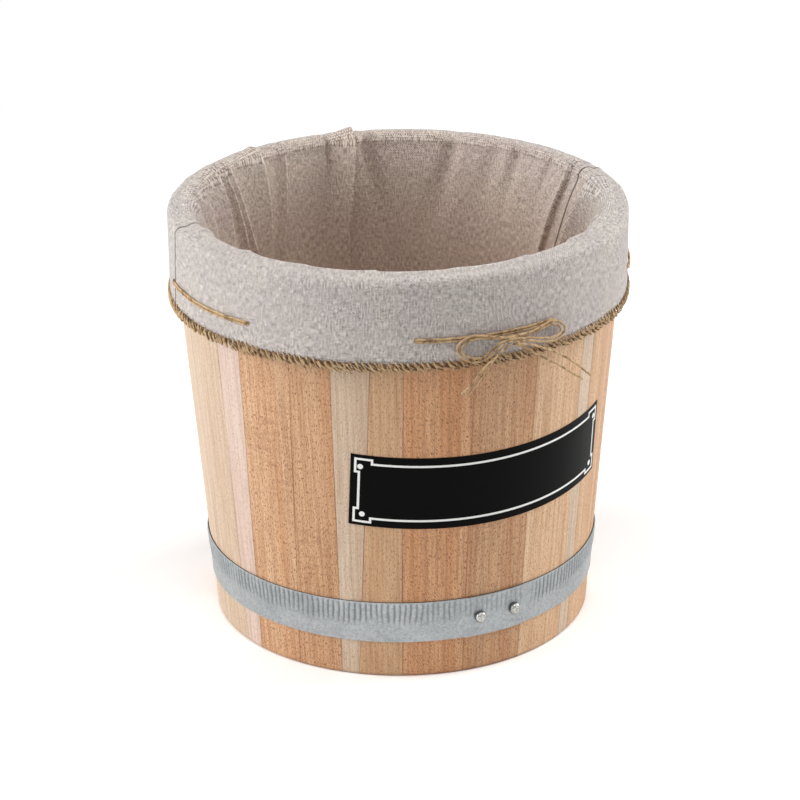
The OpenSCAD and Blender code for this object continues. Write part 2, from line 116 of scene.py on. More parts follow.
# %% [markdown]
# ## A bench for node trees
#
# A shader and a Geometry Nodes tree are sums that are drawn as boxes and wires. Wiring them by
# hand hides the sum, so one small class wraps a socket: adding or multiplying two of them adds
# the Math node for it, and the sum can be read as it would be on paper. Every other node comes
# from one method, which sets the node's own settings first and then fills its sockets.

# %% A socket that can be added and multiplied
class Flow:
    """What leaves a socket, as a number in a sum."""

    def __init__(self, bench, socket):
        self.bench, self.socket = bench, socket

    def sum(self, operation, *terms):
        return self.bench.node("ShaderNodeMath", {"operation": operation}, dict(enumerate(terms)))

    def __rsub__(self, other):
        return self.sum("SUBTRACT", other, self)

    def __rtruediv__(self, other):
        return self.sum("DIVIDE", other, self)

    def __neg__(self):
        return self.sum("MULTIPLY", self, -1)

    def rise(self, low, high):
        """0 below low, 1 above high, and a smooth rise between them."""
        return self.bench.node("ShaderNodeMapRange", {"interpolation_type": "SMOOTHSTEP"},
                               {0: self, 1: low, 2: high})


SUMS = {"__add__": "ADD", "__radd__": "ADD", "__sub__": "SUBTRACT", "__mul__": "MULTIPLY",
        "__rmul__": "MULTIPLY", "__truediv__": "DIVIDE", "__pow__": "POWER", "sin": "SINE",
        "cos": "COSINE", "tan": "TANGENT", "size": "ABSOLUTE", "floor": "FLOOR", "least": "MINIMUM",
        "above": "GREATER_THAN"}
for name, operation in SUMS.items():
    setattr(Flow, name, lambda flow, *others, how=operation: flow.sum(how, flow, *others))
print("a flow knows", len(SUMS), "sums")

# %% The bench, where a tree is made
class Bench:
    """A node tree under work."""

    def __init__(self, tree):
        self.tree = tree

    def node(self, kind, settings=None, sockets=None, out=0):
        """Adds a node of a kind: its settings first, then a value or flow for each socket."""
        made = self.tree.nodes.new(kind)
        for name, value in (settings or {}).items():
            setattr(made, name, value)
        for key, value in (sockets or {}).items():
            for one in value if isinstance(value, list) else [value]:
                if isinstance(one, Flow):
                    self.tree.links.new(one.socket, made.inputs[key])
                else:
                    made.inputs[key].default_value = one
        if isinstance(out, tuple):
            return [Flow(self, made.outputs[key]) for key in out]
        return Flow(self, made.outputs[out])

    def vector(self, x, y, z):
        return self.node("ShaderNodeCombineXYZ", None, {0: x, 1: y, 2: z})

    def apart(self, vector):
        return self.node("ShaderNodeSeparateXYZ", None, {0: vector}, out=(0, 1, 2))

    def place(self, turn, z, r):
        """What place() gives, for flows, with the angle in radians."""
        return self.vector(r * turn.sin(), -(r * turn.cos()), z)

    def attribute(self, name, out="Fac"):
        return self.node("ShaderNodeAttribute", {"attribute_name": name}, out=out)

    def object_place(self):
        return self.node("ShaderNodeTexCoord", out="Object")

    def plus(self, a, b):
        return self.node("ShaderNodeVectorMath", {"operation": "ADD"}, {0: a, 1: b})

    def times(self, vector, amount):
        return self.node("ShaderNodeVectorMath", {"operation": "SCALE"}, {0: vector, "Scale": amount})

    def noise(self, vector, scale, detail=2.0):
        return self.node("ShaderNodeTexNoise", None, {"Vector": vector, "Scale": scale, "Detail": detail})

    def mottle(self, x, y, z, detail=2.0):
        """Noise on three numbers, each with a scale of its own."""
        return self.noise(self.vector(x, y, z), 1.0, detail)

    def blend(self, share, a, b, how="MIX"):
        """Mixes two colours, by a share from 0 to 1."""
        return self.node("ShaderNodeMix", {"data_type": "RGBA", "blend_type": how},
                         {0: share, 6: a, 7: b}, out=2)

    def bump(self, height, depth, strength=1.0):
        """A normal for a surface whose height varies by depth, in metres."""
        return self.node("ShaderNodeBump", None, {"Height": height, "Distance": depth, "Strength": strength})


def paint(code):
    """A screen colour, as #RRGGBB, in the numbers that a shader reckons with."""
    parts = [int(code[i:i + 2], 16) / 255 for i in (1, 3, 5)]
    return (*[c / 12.92 if c <= 0.04045 else ((c + 0.055) / 1.055) ** 2.4 for c in parts], 1.0)


print("beech orange reckons as", [round(v, 3) for v in paint("#DDAA80")])

# %% A finish: a material whose varying sockets come from a recipe
finishes = {}


def finish(slot, recipe, **fixed):
    """Makes the material for a slot. recipe gives the flows; fixed are plain values."""
    made = bpy.data.materials.new(slot)
    made.use_nodes = True
    made.node_tree.nodes.clear()
    bench = Bench(made.node_tree)
    shader = made.node_tree.nodes.new("ShaderNodeBsdfPrincipled")
    for name, value in fixed.items():
        shader.inputs[name.replace("_", " ")].default_value = value
    for name, flow in recipe(bench).items():
        made.node_tree.links.new(flow.socket, shader.inputs[name])
    output = made.node_tree.nodes.new("ShaderNodeOutputMaterial")
    made.node_tree.links.new(shader.outputs[0], output.inputs[0])
    finishes[slot] = made
    print("finish", slot, "has", len(made.node_tree.nodes), "nodes")
    return made


# %% The start and the end of a Geometry Nodes tree
def start_tree(name, **inputs):
    """A new tree with a blank, a material and, by kind, the named inputs. Gives its bench and flows."""
    tree = bpy.data.node_groups.new(name, "GeometryNodeTree")
    for kind, labels in {"Geometry": ["Blank"], **inputs, "Material": ["Material"]}.items():
        for label in labels:
            tree.interface.new_socket(label, in_out="INPUT", socket_type="NodeSocket" + kind)
    tree.interface.new_socket("Work", in_out="OUTPUT", socket_type="NodeSocketGeometry")
    bench = Bench(tree)
    given = tree.nodes.new("NodeGroupInput")
    return bench, {s.name: Flow(bench, s) for s in given.outputs if s.name}


def end_tree(bench, work, given):
    """Ends a tree in real geometry with its material on."""
    work = bench.node("GeometryNodeRealizeInstances", None, {0: work})
    work = bench.node("GeometryNodeSetMaterial", None, {0: work, "Material": given["Material"]})
    bench.tree.links.new(work.socket, bench.tree.nodes.new("NodeGroupOutput").inputs[0])
    print(bench.tree.name, "takes", len(bench.tree.nodes), "nodes")
    return bench.tree


# %% A piece of the firkin, and the work of a tree on it
def mesh_of(name, points, edges=(), faces=()):
    mesh = bpy.data.meshes.new(name)
    mesh.from_pydata([tuple(p) for p in points], list(edges), list(faces))
    return mesh


def put_in(name, mesh):
    """Puts a mesh in the scene as a piece, at the origin."""
    piece = bpy.data.objects.new(name, mesh)
    bpy.context.scene.collection.objects.link(piece)
    return piece


def work(name, blank, tree, slot, **values):
    """Gives a blank mesh to a tree and keeps the plain mesh that comes out, as a piece."""
    piece = put_in(name, blank)
    modifier = piece.modifiers.new("work", "NODES")
    modifier.node_group = tree
    sockets = {s.name: s.identifier for s in tree.interface.items_tree if s.in_out == "INPUT"}
    for label, value in {**values, "Material": finishes[slot]}.items():
        modifier[sockets[label.replace("_", " ")]] = value
    ready = piece.evaluated_get(bpy.context.evaluated_depsgraph_get())
    made = bpy.data.meshes.new_from_object(ready)
    piece.modifiers.clear()
    piece.data = made
    made.name = name
    return piece


def store(bench, geometry, name, value, kind="FLOAT_VECTOR"):
    """Keeps a value on every point, for the finish to read."""
    return bench.node("GeometryNodeStoreNamedAttribute", {"data_type": kind, "domain": "POINT"},
                      {0: geometry, "Name": name, "Value": value})


def shade_parts(bench, piece, sharpest):
    """Shades a piece smooth, but for edges that turn by more than an angle, in radians."""
    piece = bench.node("GeometryNodeSetShadeSmooth", {"domain": "FACE"}, {0: piece})
    sharp = bench.node("GeometryNodeInputMeshEdgeAngle").above(sharpest)
    return bench.node("GeometryNodeSetShadeSmooth", {"domain": "EDGE"},
                      {0: piece, "Selection": sharp, "Shade Smooth": False})


print("the bench is ready")

# %% [markdown]
# ## Jute twine
#
# The bow, drawstring and edging are jute: coarse golden fibre, spun into thin plies that are laid
# up together, with short fibres standing off. A smooth tube looks like wire. So a tree copies the
# route once for each ply, winds the copies round it like a screw, gives them thickness, and
# sprinkles short hairs over them. The finish adds the colour of the fibres, and darkens what lies
# close against the wood, where little light gets between the yarns.

# %% The finish of jute
def from_axis(x, y):
    """How far a point is from the firkin's upright axis."""
    return (x * x + y * y) ** 0.5


def jute(bench):
    along, around = bench.attribute("along"), bench.attribute("around")
    fibre = bench.mottle(along * 160, around * 7 + along * 900, 0, 3)
    patch = bench.noise(bench.object_place(), 260, 2)
    x, y, _ = bench.apart(bench.object_place())
    # painted shade: yarn that lies close against the wood is darkened, where little light gets between the
    # yarns
    deep_shade = 1 - from_axis(x, y).rise(0.1543, 0.1555)
    shade = bench.blend(fibre.rise(0.3, 0.7), paint("#AE8350"), paint("#F0D6AC"))
    shade = bench.blend(patch.rise(0.45, 0.68) * 0.7, shade, paint("#6E4A2B"))
    shade = bench.blend(deep_shade * 0.85, shade, paint("#4A301D"))
    return {"Base Color": shade, "Normal": bench.bump(fibre, 0.0003, 0.8)}


finish("jute", jute, Roughness=0.85)


# %% What every yarn has: a round body, and stray hairs
def thicken(bench, line, given, radius, thick, caps):
    """Gives a line the body of a yarn, with a value that tells the way round it."""
    ring = bench.node("GeometryNodeCurvePrimitiveCircle", None,
                      {"Resolution": given["Sides"], "Radius": radius})
    ring = store(bench, ring, "around", bench.node("GeometryNodeSplineParameter", out="Factor"), "FLOAT")
    body = bench.node("GeometryNodeCurveToMesh", None,
                      {0: line, 1: ring, "Scale": thick, "Fill Caps": caps})
    return bench.node("GeometryNodeSetShadeSmooth", None, {0: body})


def add_hairs(bench, yarn, given, length, scale=(1, 1, 1)):
    """Sprinkles a yarn with stray fibres, thin three-sided cones that each lean their own way."""
    spots, stand = bench.node("GeometryNodeDistributePointsOnFaces", None,
                              {0: yarn, "Density": given["Hairs"], "Seed": given["Seed"]},
                              out=("Points", "Rotation"))
    hair = bench.node("GeometryNodeMeshCone", {"fill_type": "NONE"},
                      {"Vertices": 3, "Radius Top": 0.000008, "Radius Bottom": 0.00004, "Depth": length})
    tip = bench.node("FunctionNodeRandomValue", {"data_type": "FLOAT_VECTOR"},
                     {0: (-1.2, -1.2, -3.0), 1: (1.2, 1.2, 3.0), "Seed": given["Seed"]})
    stand = bench.node("FunctionNodeRotateRotation", {"rotation_space": "LOCAL"}, {0: stand, 1: tip})
    hairs = bench.node("GeometryNodeInstanceOnPoints", None,
                       {0: spots, "Instance": hair, "Rotation": stand, "Scale": scale})
    return bench.node("GeometryNodeJoinGeometry", None, {0: [yarn, hairs]})


# %% The tree that lays up a twine
def twine_tree():
    bench, given = start_tree(
        "Lay up a twine", Int=["Plies", "Sides", "Seed"],
        Float=["Ply radius", "Lay radius", "Lay length", "Step", "Hairs", "Hair length"])
    line = bench.node("GeometryNodeMeshToCurve", None, {0: given["Blank"]})
    line = bench.node("GeometryNodeResampleCurve", {"mode": "LENGTH"}, {0: line, "Length": given["Step"]})
    line, ply = bench.node("GeometryNodeDuplicateElements", {"domain": "SPLINE"},
                           {0: line, "Amount": given["Plies"]}, out=(0, 1))
    run = bench.node("GeometryNodeSplineParameter", out="Length")
    tangent = bench.node("GeometryNodeInputTangent")
    normal = bench.node("GeometryNodeInputNormal")
    side = bench.node("ShaderNodeVectorMath", {"operation": "CROSS_PRODUCT"}, {0: tangent, 1: normal})
    turn = 2 * math.pi * (run / given["Lay length"] + ply / given["Plies"])
    loose = 0.75 + 0.5 * bench.mottle(run * 160, ply * 5.3, given["Seed"] * 1.7)
    shift = bench.plus(bench.times(normal, turn.cos() * given["Lay radius"] * loose),
                       bench.times(side, turn.sin() * given["Lay radius"] * loose))
    line = store(bench, line, "along", run + ply * 0.37 + given["Seed"] * 0.13, "FLOAT")
    line = bench.node("GeometryNodeSetPosition", None, {0: line, "Offset": shift})
    thick = 0.8 + 0.4 * bench.mottle(run * 420, ply * 3.1, given["Seed"] * 2.3)
    plies = thicken(bench, line, given, given["Ply radius"], thick, True)
    scale = bench.node("FunctionNodeRandomValue", {"data_type": "FLOAT"},
                       {2: 0.4, 3: 1.3, "Seed": given["Seed"] + 5}, out=1)
    hairy = add_hairs(bench, plies, given, given["Hair length"], bench.vector(1, 1, scale))
    return end_tree(bench, hairy, given)


twine = twine_tree()
HAIR_LENGTH = 0.0016


def lay_up(name, routes, seed, plies=3, ply_radius=0.00044, lay_radius=0.0004, lay=0.0062, step=0.0006,
           sides=6, hairs=120000):
    """Twine along some routes, which are lists of points in the firkin's own frame."""
    points, edges = [], []
    for route in routes:
        edges += [(len(points) + i, len(points) + i + 1) for i in range(len(route) - 1)]
        points += route
    return work(name, mesh_of(name, points, edges), twine, "jute", Plies=plies, Ply_radius=ply_radius,
                Lay_radius=lay_radius, Lay_length=lay, Step=step, Sides=sides, Hairs=float(hairs),
                Hair_length=HAIR_LENGTH, Seed=seed)


print("a twine's hairs are up to", HAIR_LENGTH * 1300, "mm long")

# %% [markdown]
# ## The bow
#
# The doubled drawstring is tied in front in a bow: two doubled loops and two doubled tails that
# hang down over the hem. Each strand is a real cord with a real length, so each is a piece of its
# own, on the same route as its CAD solid: points given as an angle, a height and a radius, with a
# smooth curve through them. Jute twine this thick is springy enough to stand off in open loops.

# %% Routes of the strands, in degrees and metres
BOW_ROUTES = {
    "bow_loop_left": [
        [(-2.6, .2492, .1602), (-6, .251, .1588), (-9, .2524, .1576), (-11.6, .2508, .1574),
         (-13.4, .2466, .1572), (-13.5, .2416, .1574), (-11.9, .237, .158), (-9.6, .2346, .1584),
         (-7, .2356, .1588), (-4.6, .2398, .1596), (-2.6, .245, .1608)],
        [(-2.6, .2482, .1584), (-5.8, .249, .1578), (-8.8, .2503, .1574), (-11, .2486, .1574),
         (-12.4, .2456, .1572), (-12.4, .2418, .1576), (-11, .2388, .1582), (-9.2, .2372, .1586),
         (-7.2, .238, .1588), (-5.2, .2418, .159), (-2.6, .2466, .1594)]],
    "bow_loop_right": [
        [(.6, .2492, .1602), (4.5, .2488, .1592), (8, .2502, .158), (10.6, .2516, .1574),
         (13.2, .25, .1574), (15.1, .246, .1574), (15.3, .242, .1576), (13.8, .2388, .158),
         (11.2, .2382, .1582), (7.6, .2402, .1588), (4.2, .2434, .1598), (.6, .2452, .1606)],
        [(.6, .2482, .1584), (4.6, .2469, .158), (8, .2482, .1576), (10.4, .2494, .1574),
         (12.4, .2484, .1574), (13.9, .2452, .1574), (14, .2426, .1578), (12.8, .241, .1582),
         (10.6, .2408, .1584), (7.4, .2426, .1584), (4.2, .2449, .1582), (.6, .2465, .1592)]],
    "bow_tail_left": [
        [(-1.2, .2436, .1604), (-3.1, .2404, .1612), (-5.2, .2354, .1608), (-7.1, .2292, .1602),
         (-8.8, .2212, .1596), (-11.2, .2134, .1592)],
        [(-1.9, .2443, .1622), (-4.2, .2394, .1629), (-6.8, .2336, .162), (-8.6, .2274, .1608),
         (-10.6, .2192, .16), (-12.9, .2146, .1596)]],
    "bow_tail_right": [
        [(.1, .2442, .1622), (4, .2416, .1622), (7.8, .2364, .1618), (11.6, .2306, .1612),
         (15.6, .223, .1608), (19.8, .2138, .1604), (23.8, .2046, .16)],
        [(-.2, .2436, .16), (2.8, .2398, .1604), (5.6, .2342, .1608), (8.8, .228, .1608),
         (12.6, .221, .1606), (16.6, .2128, .1602), (20.8, .2044, .16)]]}
print("the bow has", sum(len(routes) for routes in BOW_ROUTES.values()), "strands")


# %% Smooth curves through the routes
def between(points, times):
    """Adds the middle of a smooth curve between each two points, a number of times."""
    for _ in range(times):
        last = len(points) - 1
        middles = [(9 * (points[i] + points[i + 1]) - points[max(0, i - 1)] - points[min(last, i + 2)]) / 16
                   for i in range(last)]
        points = [p for pair in zip(points, middles) for p in pair] + [points[-1]]
    return points


def run_length(points):
    return sum((b - a).length for a, b in zip(points, points[1:]))


bow_lines = {node: [between([place(*p) for p in route], 3) for route in routes]
             for node, routes in BOW_ROUTES.items()}
print("a loop's first strand has", len(bow_lines["bow_loop_left"][0]), "points")

# %% Make the strands and the knot
strands = []
for node, lines in bow_lines.items():
    for which, line in enumerate(lines):
        strand = lay_up(f"{node}_{'ab'[which]}", [line], seed=len(strands) + 1)
        strands.append((strand, node, line))
        print(strand.name, "is", round(run_length(line) * 1000, 1), "mm of twine")

KNOT_AT = (-1.0, 0.2474, 0.1596)
knot_middle = place(*KNOT_AT)
knot_along = place(KNOT_AT[0] + 90, 0, 1)
knot_out = place(KNOT_AT[0], 0, 1)
STEPS_A_TURN, KNOT_SQUASH = 16, 0.92


def knot_route(start, turns, lean, radius, length):
    """A few turns of twine round the strands where they cross, leaning like a hand-tied knot."""
    route = []
    for i in range(round(turns * STEPS_A_TURN) + 1):
        t = i / STEPS_A_TURN * 2 * math.pi + start
        share = i / (turns * STEPS_A_TURN) - 0.5
        across = knot_out * math.cos(t) + Vector((0, 0, 1)) * math.sin(t) * KNOT_SQUASH
        route.append(knot_middle + across * radius + knot_along * (share * length + lean * math.sin(t)))
    return route


through = [between([place(*p) for p in route], 3) for route in (
    [(-4.6, .2489, .1584), (-2.4, .2491, .1602), (-.6, .2486, .1612), (1.4, .2491, .1602),
     (3.6, .2486, .159)],
    [(-4.0, .2452, .1594), (-2.4, .2468, .1606), (-.8, .2476, .1614), (1.0, .2472, .1608),
     (3.4, .2452, .1596)],
    [(-3.2, .2474, .1584), (-1.0, .2470, .1602), (.4, .2450, .1610), (2.2, .2440, .1606)])]
knot = lay_up("bow_knot_twine", [knot_route(0.4, 1.6, 0.0017, 0.0019, 0.0028),
                                 knot_route(3.5, 0.9, -0.0016, 0.0021, 0.0040), *through],
              seed=31, hairs=150000)
print("the knot has", len(knot.data.polygons), "faces")

# %% [markdown]
# ## The drawstring
#
# The drawstring is the same twine doubled. It runs along the outside of the cuff in five
# stretches, goes in through a slit at each end, and runs on behind the cloth to the next. Behind
# the cloth there is little room above the wood, so there its yarns lie flat side by side.

# %% Make the drawstring
STRETCHES, STRETCH_HALF, STRING_Z, STRING_R = [-83, -5.4, 71, 142, 211], 18, 0.251, 0.1555
HIDDEN_R, HALF_GAP, DROOP, WAVER = 0.15358, 0.00088, 0.0008, 0.00025
# The share of half a stretch after which the twine dips to its slit, the rest of it, and how deep.
DIP_FROM, DIP_SHARE, DIP_DEPTH = 0.955, 0.045, 0.0016
# Heights of the four hidden yarns from the string's middle, and by how many degrees they run on
# behind each end of a stretch.
HIDDEN_HEIGHTS, SLIT_INSET = (-0.0012, -0.0004, 0.0004, 0.0012), 0.6
string_routes, hidden_routes = [], []
for i, middle in enumerate(STRETCHES):
    for side in (-1, 1):
        route = []
        for k in range(61):
            share = k / 30 - 1
            wave = noise.noise(Vector((middle + share * 5, side * 2.0, 0))) * WAVER
            dip = max(0.0, abs(share) - DIP_FROM) / DIP_SHARE
            droop = DROOP * (1 - share * share)
            gap = side * HALF_GAP * (1 - 0.45 * dip)
            route.append(place(middle + STRETCH_HALF * share, STRING_Z + gap + wave - droop,
                               STRING_R - DIP_DEPTH * dip ** 1.5 + abs(wave) * 0.4))
        string_routes.append(route)
    after = (STRETCHES + [STRETCHES[0] + 360])[i + 1]
    start, end = middle + STRETCH_HALF - SLIT_INSET, after - STRETCH_HALF + SLIT_INSET
    for rise in HIDDEN_HEIGHTS:
        hidden_routes.append([place(start + (end - start) * k / 40, STRING_Z + rise, HIDDEN_R)
                              for k in range(41)])


def join(name, pieces):
    """Joins pieces of one finish into the first, which keeps the name."""
    with bpy.context.temp_override(active_object=pieces[0], selected_editable_objects=pieces):
        bpy.ops.object.join()
    pieces[0].name = name
    return pieces[0]


drawstring = join("drawstring_twine", [
    lay_up("drawstring_outside", string_routes, seed=41, step=0.0008, sides=5),
    lay_up("drawstring_hidden", hidden_routes, seed=42, plies=1, ply_radius=0.00022, lay_radius=0.0,
           step=0.004, sides=5, hairs=0)])
print("the drawstring has", len(drawstring.data.polygons), "faces")

# %% [markdown]
# ## The looped jute edging
#
# The cuff's hem is whipped over with loose jute yarn: row upon row of loops that lean along the
# hem and catch in each other, with dark gaps between them, whose shade the jute's finish paints.
# Instead of hundreds of separate loops, one long yarn is made for each row: the tree walks round
# the hem and swings the yarn out, up and along as it goes, with uneven loops, as a hand works them.

# %% The tree that works a row of loops
def edging_tree():
    bench, given = start_tree(
        "Work a row of loops", Int=["Loops", "Points in a loop", "Sides", "Seed"],
        Float=["Loop depth", "Loop height", "Lean", "Unevenness", "Yarn radius", "Hairs"])
    hem = bench.node("GeometryNodeMeshToCurve", None, {0: given["Blank"]})
    hem = bench.node("GeometryNodeResampleCurve", {"mode": "COUNT"},
                     {0: hem, "Count": given["Loops"] * given["Points in a loop"]})
    turn = bench.node("GeometryNodeInputIndex") / given["Points in a loop"] * (2 * math.pi)
    here = bench.node("GeometryNodeInputPosition")
    x, y, _ = bench.apart(here)
    outward = bench.node("ShaderNodeVectorMath", {"operation": "NORMALIZE"}, {0: bench.vector(x, y, 0)})
    onward = bench.node("ShaderNodeVectorMath", {"operation": "CROSS_PRODUCT"}, {0: (0, 0, 1), 1: outward})
    apart = bench.vector(given["Seed"] * 3.7, given["Seed"] * 1.3, turn * 0.02)
    swing = bench.noise(bench.plus(bench.times(here, 260), apart), 1.0, 1)
    drift = bench.noise(bench.plus(bench.times(here, 90), apart), 1.0, 1) - 0.5
    big = bench.noise(bench.plus(bench.times(here, 22), apart), 1.0, 1) * 1.2 + 0.4
    uneven = (1 + (swing - 0.5) * 2.4 * given["Unevenness"]) * big
    shift = bench.plus(
        bench.plus(bench.times(outward, turn.cos() * given["Loop depth"]),
                   bench.vector(0, 0, turn.sin() * given["Loop height"] * uneven
                                + drift * given["Unevenness"] * 0.005)),
        bench.times(onward, turn.sin() * given["Lean"] * uneven + drift * 0.004))
    yarn = store(bench, hem, "along", bench.node("GeometryNodeSplineParameter", out="Length")
                 * 8 + given["Seed"], "FLOAT")
    yarn = bench.node("GeometryNodeSetPosition", None, {0: yarn, "Offset": shift})
    yarn = thicken(bench, yarn, given, given["Yarn radius"], 0.6 + 0.8 * swing, False)
    return end_tree(bench, add_hairs(bench, yarn, given, HAIR_LENGTH), given)


loops = edging_tree()


# %% Work the rows round the hem
HEM_R, HEM_SAG = 0.15487, 0.0006


def hem_line(z):
    """The hem as a ring of edges, a little lower at the bucket's sides than in front."""
    points = [place(a, z - HEM_SAG * math.sin(math.radians(a)) ** 2, HEM_R) for a in range(0, 360, 2)]
    return mesh_of("hem", points, [(i, (i + 1) % len(points)) for i in range(len(points))])


def row(name, z, count, height, lean, unevenness, yarn, seed, depth=0.00085):
    return work(name, hem_line(z), loops, "jute", Loops=count, Points_in_a_loop=14, Loop_depth=depth,
                Loop_height=height, Lean=lean, Unevenness=unevenness,
                Yarn_radius=yarn, Sides=6, Hairs=50000.0, Seed=seed)


edging = join("cuff_edging_loops", [
    row("edging_whipped", 0.2338, 236, 0.0025, -0.0020, 0.45, 0.00046, 51),
    row("edging_chained", 0.2321, 196, 0.0024, -0.0030, 0.55, 0.00046, 52),
    row("edging_curled", 0.2316, 128, 0.0016, -0.0042, 0.9, 0.00040, 53)])
print("the edging has", len(edging.data.polygons), "faces")

# %% [markdown]
# ## The linen liner
#
# The liner is sewn from two panels of plain woven linen that meet at the firkin's sides. Each runs
# from the cuff's hem up the outside, over the rim and down the inside to a round base. It is
# cut wider than the bucket, so inside it stands off the staves in loose upright folds, each of
# which starts as a small tuck at the rim. A cloth simulation would settle into folds of its own;
# these follow the photograph, so the cloth is shaped by a rule, like clay pushed with a tool: a
# list says where each fold is at the rim, where it has drifted to lower down, and how wide
# and deep it is. The weave is left to the finish. The front panel lies over the back one, and its
# edge stands up a little at each seam, where the finish draws the seam's shadow.

# %% The finish of linen
CLOTH_PITCH = 0.0009


def linen(bench):
    u, v, _ = bench.apart(bench.node("ShaderNodeUVMap", {"uv_map": "weave"}))
    warp, weft = u / CLOTH_PITCH, v / CLOTH_PITCH
    over = (warp * math.pi).sin() * (weft * math.pi).sin()
    ridge = (warp * math.pi).sin().size() + (weft * math.pi).sin().size()
    slub_up = bench.mottle(warp, v * 240, 0)
    slub_across = bench.mottle(u * 210, weft, 7)
    fluff = bench.mottle(warp * 1.15, weft * 1.15, 3)
    cloud = bench.noise(bench.object_place(), 30, 3)
    thread = slub_up * 0.36 + slub_across * 0.24 + fluff * 0.40
    height = over * 0.4 + ridge * 0.35 + thread
    # painted warm bounce light and shade: inside the bag, and soon behind the back rim, the cloth takes a
    # warmer tint
    bagward = bench.attribute("bagward")
    pale = bench.blend(bagward, paint("#EDE6E1"), paint("#EDDACA"))
    deep = bench.blend(bagward, paint("#827C78"), paint("#8E7463"))
    weave = thread + over * 0.07 + ridge * 0.09 + cloud * 0.05
    shade = bench.blend(weave.rise(0.51, 0.75), deep, pale)
    tint = bench.blend(cloud.rise(0.38, 0.62), paint("#FAF7F8"), paint("#F9F8F5"))
    shade = bench.blend(1.0, shade, tint, "MULTIPLY")
    seam = bench.attribute("seam").rise(0.0008, 0.0015)
    shade = bench.blend(seam, bench.blend(0.95, shade, paint("#40352E")), shade)
    return {"Base Color": shade, "Normal": bench.bump(height, 0.00016, 0.9)}


finish("linen", linen, Roughness=0.92)

# %% The section of the liner, and its folds
HEM_Z, TURN_Z, TOP_Z, BAG_FOOT_Z = 0.2355, 0.283, 0.29065, 0.0332
CUFF_R, CLOTH_T, BAG_OFF = 0.15425, 0.0007, 0.00085
# The middle, as (radius, height), and the width of the outer and the inner rounding of the rim.
OUTER_TURN, INNER_TURN = (0.1500, 0.2864, 0.00425), (0.143495, 0.28675, 0.0039)
MIDDLE_ROW = 34
# How far below the turn a fold reaches its low angle.
FOLD_RUN = 0.060
# Angle at the rim and low down, half width in degrees, depth in mm (below 0 for a dimple), how
# crisp it is (the sign tells the steep side), and how far down it reaches in mm.
FOLDS = [(-91, -90, 4, 4, .3, 250), (-71, -74, 4, 5, -.6, 250), (-52, -50, 5, 4, .5, 200),
         (-33, -30, 4, 6, .8, 250), (-12, -14, 5, 4, -.4, 200), (8, 5, 4, 5, .6, 250),
         (27, 29, 5, 4, -.5, 200), (46, 43, 4, 5, .6, 250), (74, 91.5, 4, 10, .9, 200),
         (92, 102.5, 3, 5, -.8, 160), (95, 105, 1.8, -3.2, .1, 30), (102, 110, 1.9, -3.6, -.1, 32),
         (114.5, 121, 2.6, -4.5, -.2, 45), (122, 128, 4, -2.6, 0, 60), (136, 142, 3.4, -5, -.2, 70),
         (162.75, 158, 2.4, -5, .2, 60), (167, 170.25, 4.2, 10, -.95, 230),
         (174.5, 174, 1.5, -4.5, .5, 40), (189.75, 192.5, 2.2, 3.5, -.6, 160),
         (199.75, 199.5, 5, 9, -.95, 230), (213.5, 205.5, 2.6, 6, -.9, 150),
         (216, 208, 1.6, 3, -.8, 130), (222.5, 220, 4, 9, -.95, 200), (235.25, 229, 3.2, 7, -.8, 150),
         (246, 240, 3.5, 5, -.7, 150)]
# How deep the folds are at some distances along the cloth, counted from the middle of the rim.
DEPTH_AT = ([-.012, -.004, .001, .005, .010, .05, .12, .19, .262], [0, .08, .2, .6, .95, 1, .8, .4, .1])
# The two seams' angles, at the rim and low down.
SEAMS = [(-97.5, -97), (87, 97)]


def arc(r, z, radius, start, end, steps):
    turns = [math.radians(start + (end - start) * k / steps) for k in range(steps)]
    return [(r + radius * math.cos(t), z + radius * math.sin(t)) for t in turns]


def liner_section():
    """(radius, height) along the cloth, from the hem over the rim to the bag's foot."""
    cuff = [(CUFF_R, HEM_Z + (OUTER_TURN[1] - HEM_Z) * k / 24) for k in range(24)]
    flat = [(OUTER_TURN[0] - 0.0016 * k, TOP_Z) for k in range(4)]
    rim = arc(*OUTER_TURN, 0, 90, 8) + flat + arc(*INNER_TURN, 90, 180, 8)
    bag = [INNER_TURN[1] + (BAG_FOOT_Z - INNER_TURN[1]) * k / 62 for k in range(63)]
    return cuff + rim + [(inner_r(z) - BAG_OFF, z) for z in bag]


SECTION = np.array(liner_section())
steps = np.diff(SECTION, axis=0)
SECTION_RUN = np.concatenate([[0], np.cumsum(np.hypot(*steps.T))])
RIM_RUN = SECTION_RUN[MIDDLE_ROW]
ways = np.gradient(SECTION, axis=0)
ways /= np.hypot(*ways.T)[:, None]
SECTION_FREE = np.stack([ways[:, 1], -ways[:, 0]], axis=1)
print("the cloth runs", round(SECTION_RUN[-1] * 1000), "mm from hem to foot, in", len(SECTION), "rows")


# %% Where a point of the cloth lies
# How far the slack cloth bulges inside the rim, and how far along the cloth it does so most.
BULGE_DEPTH, BULGE_RUN = 0.0058, 0.034
# How far the back of the rim stands up, and over what distance.
CROWN_RISE, CROWN_HALF, BACK_ANGLE = 0.0014, 0.009, 160
# How much further in the folds in front start.
FRONT_DELAY = 0.007
# How much narrower a crisp fold is on its steep side, and how much wider on the other.
STEEPER, GENTLER = 0.85, 0.8
# How much wider a dimple gets with each metre down the cloth.
DIMPLE_WIDENS = 16
# Depths of the slow waves and of the creases, in the bag and on the cuff.
BAG_WAVES, CUFF_WAVES = (0.0013, 0.0005), (0.00035, 0.00022)
# The height below which the cuff has its waves, and the distance over which they grow.
HANG_Z, HANG_RUN = 0.284, 0.02
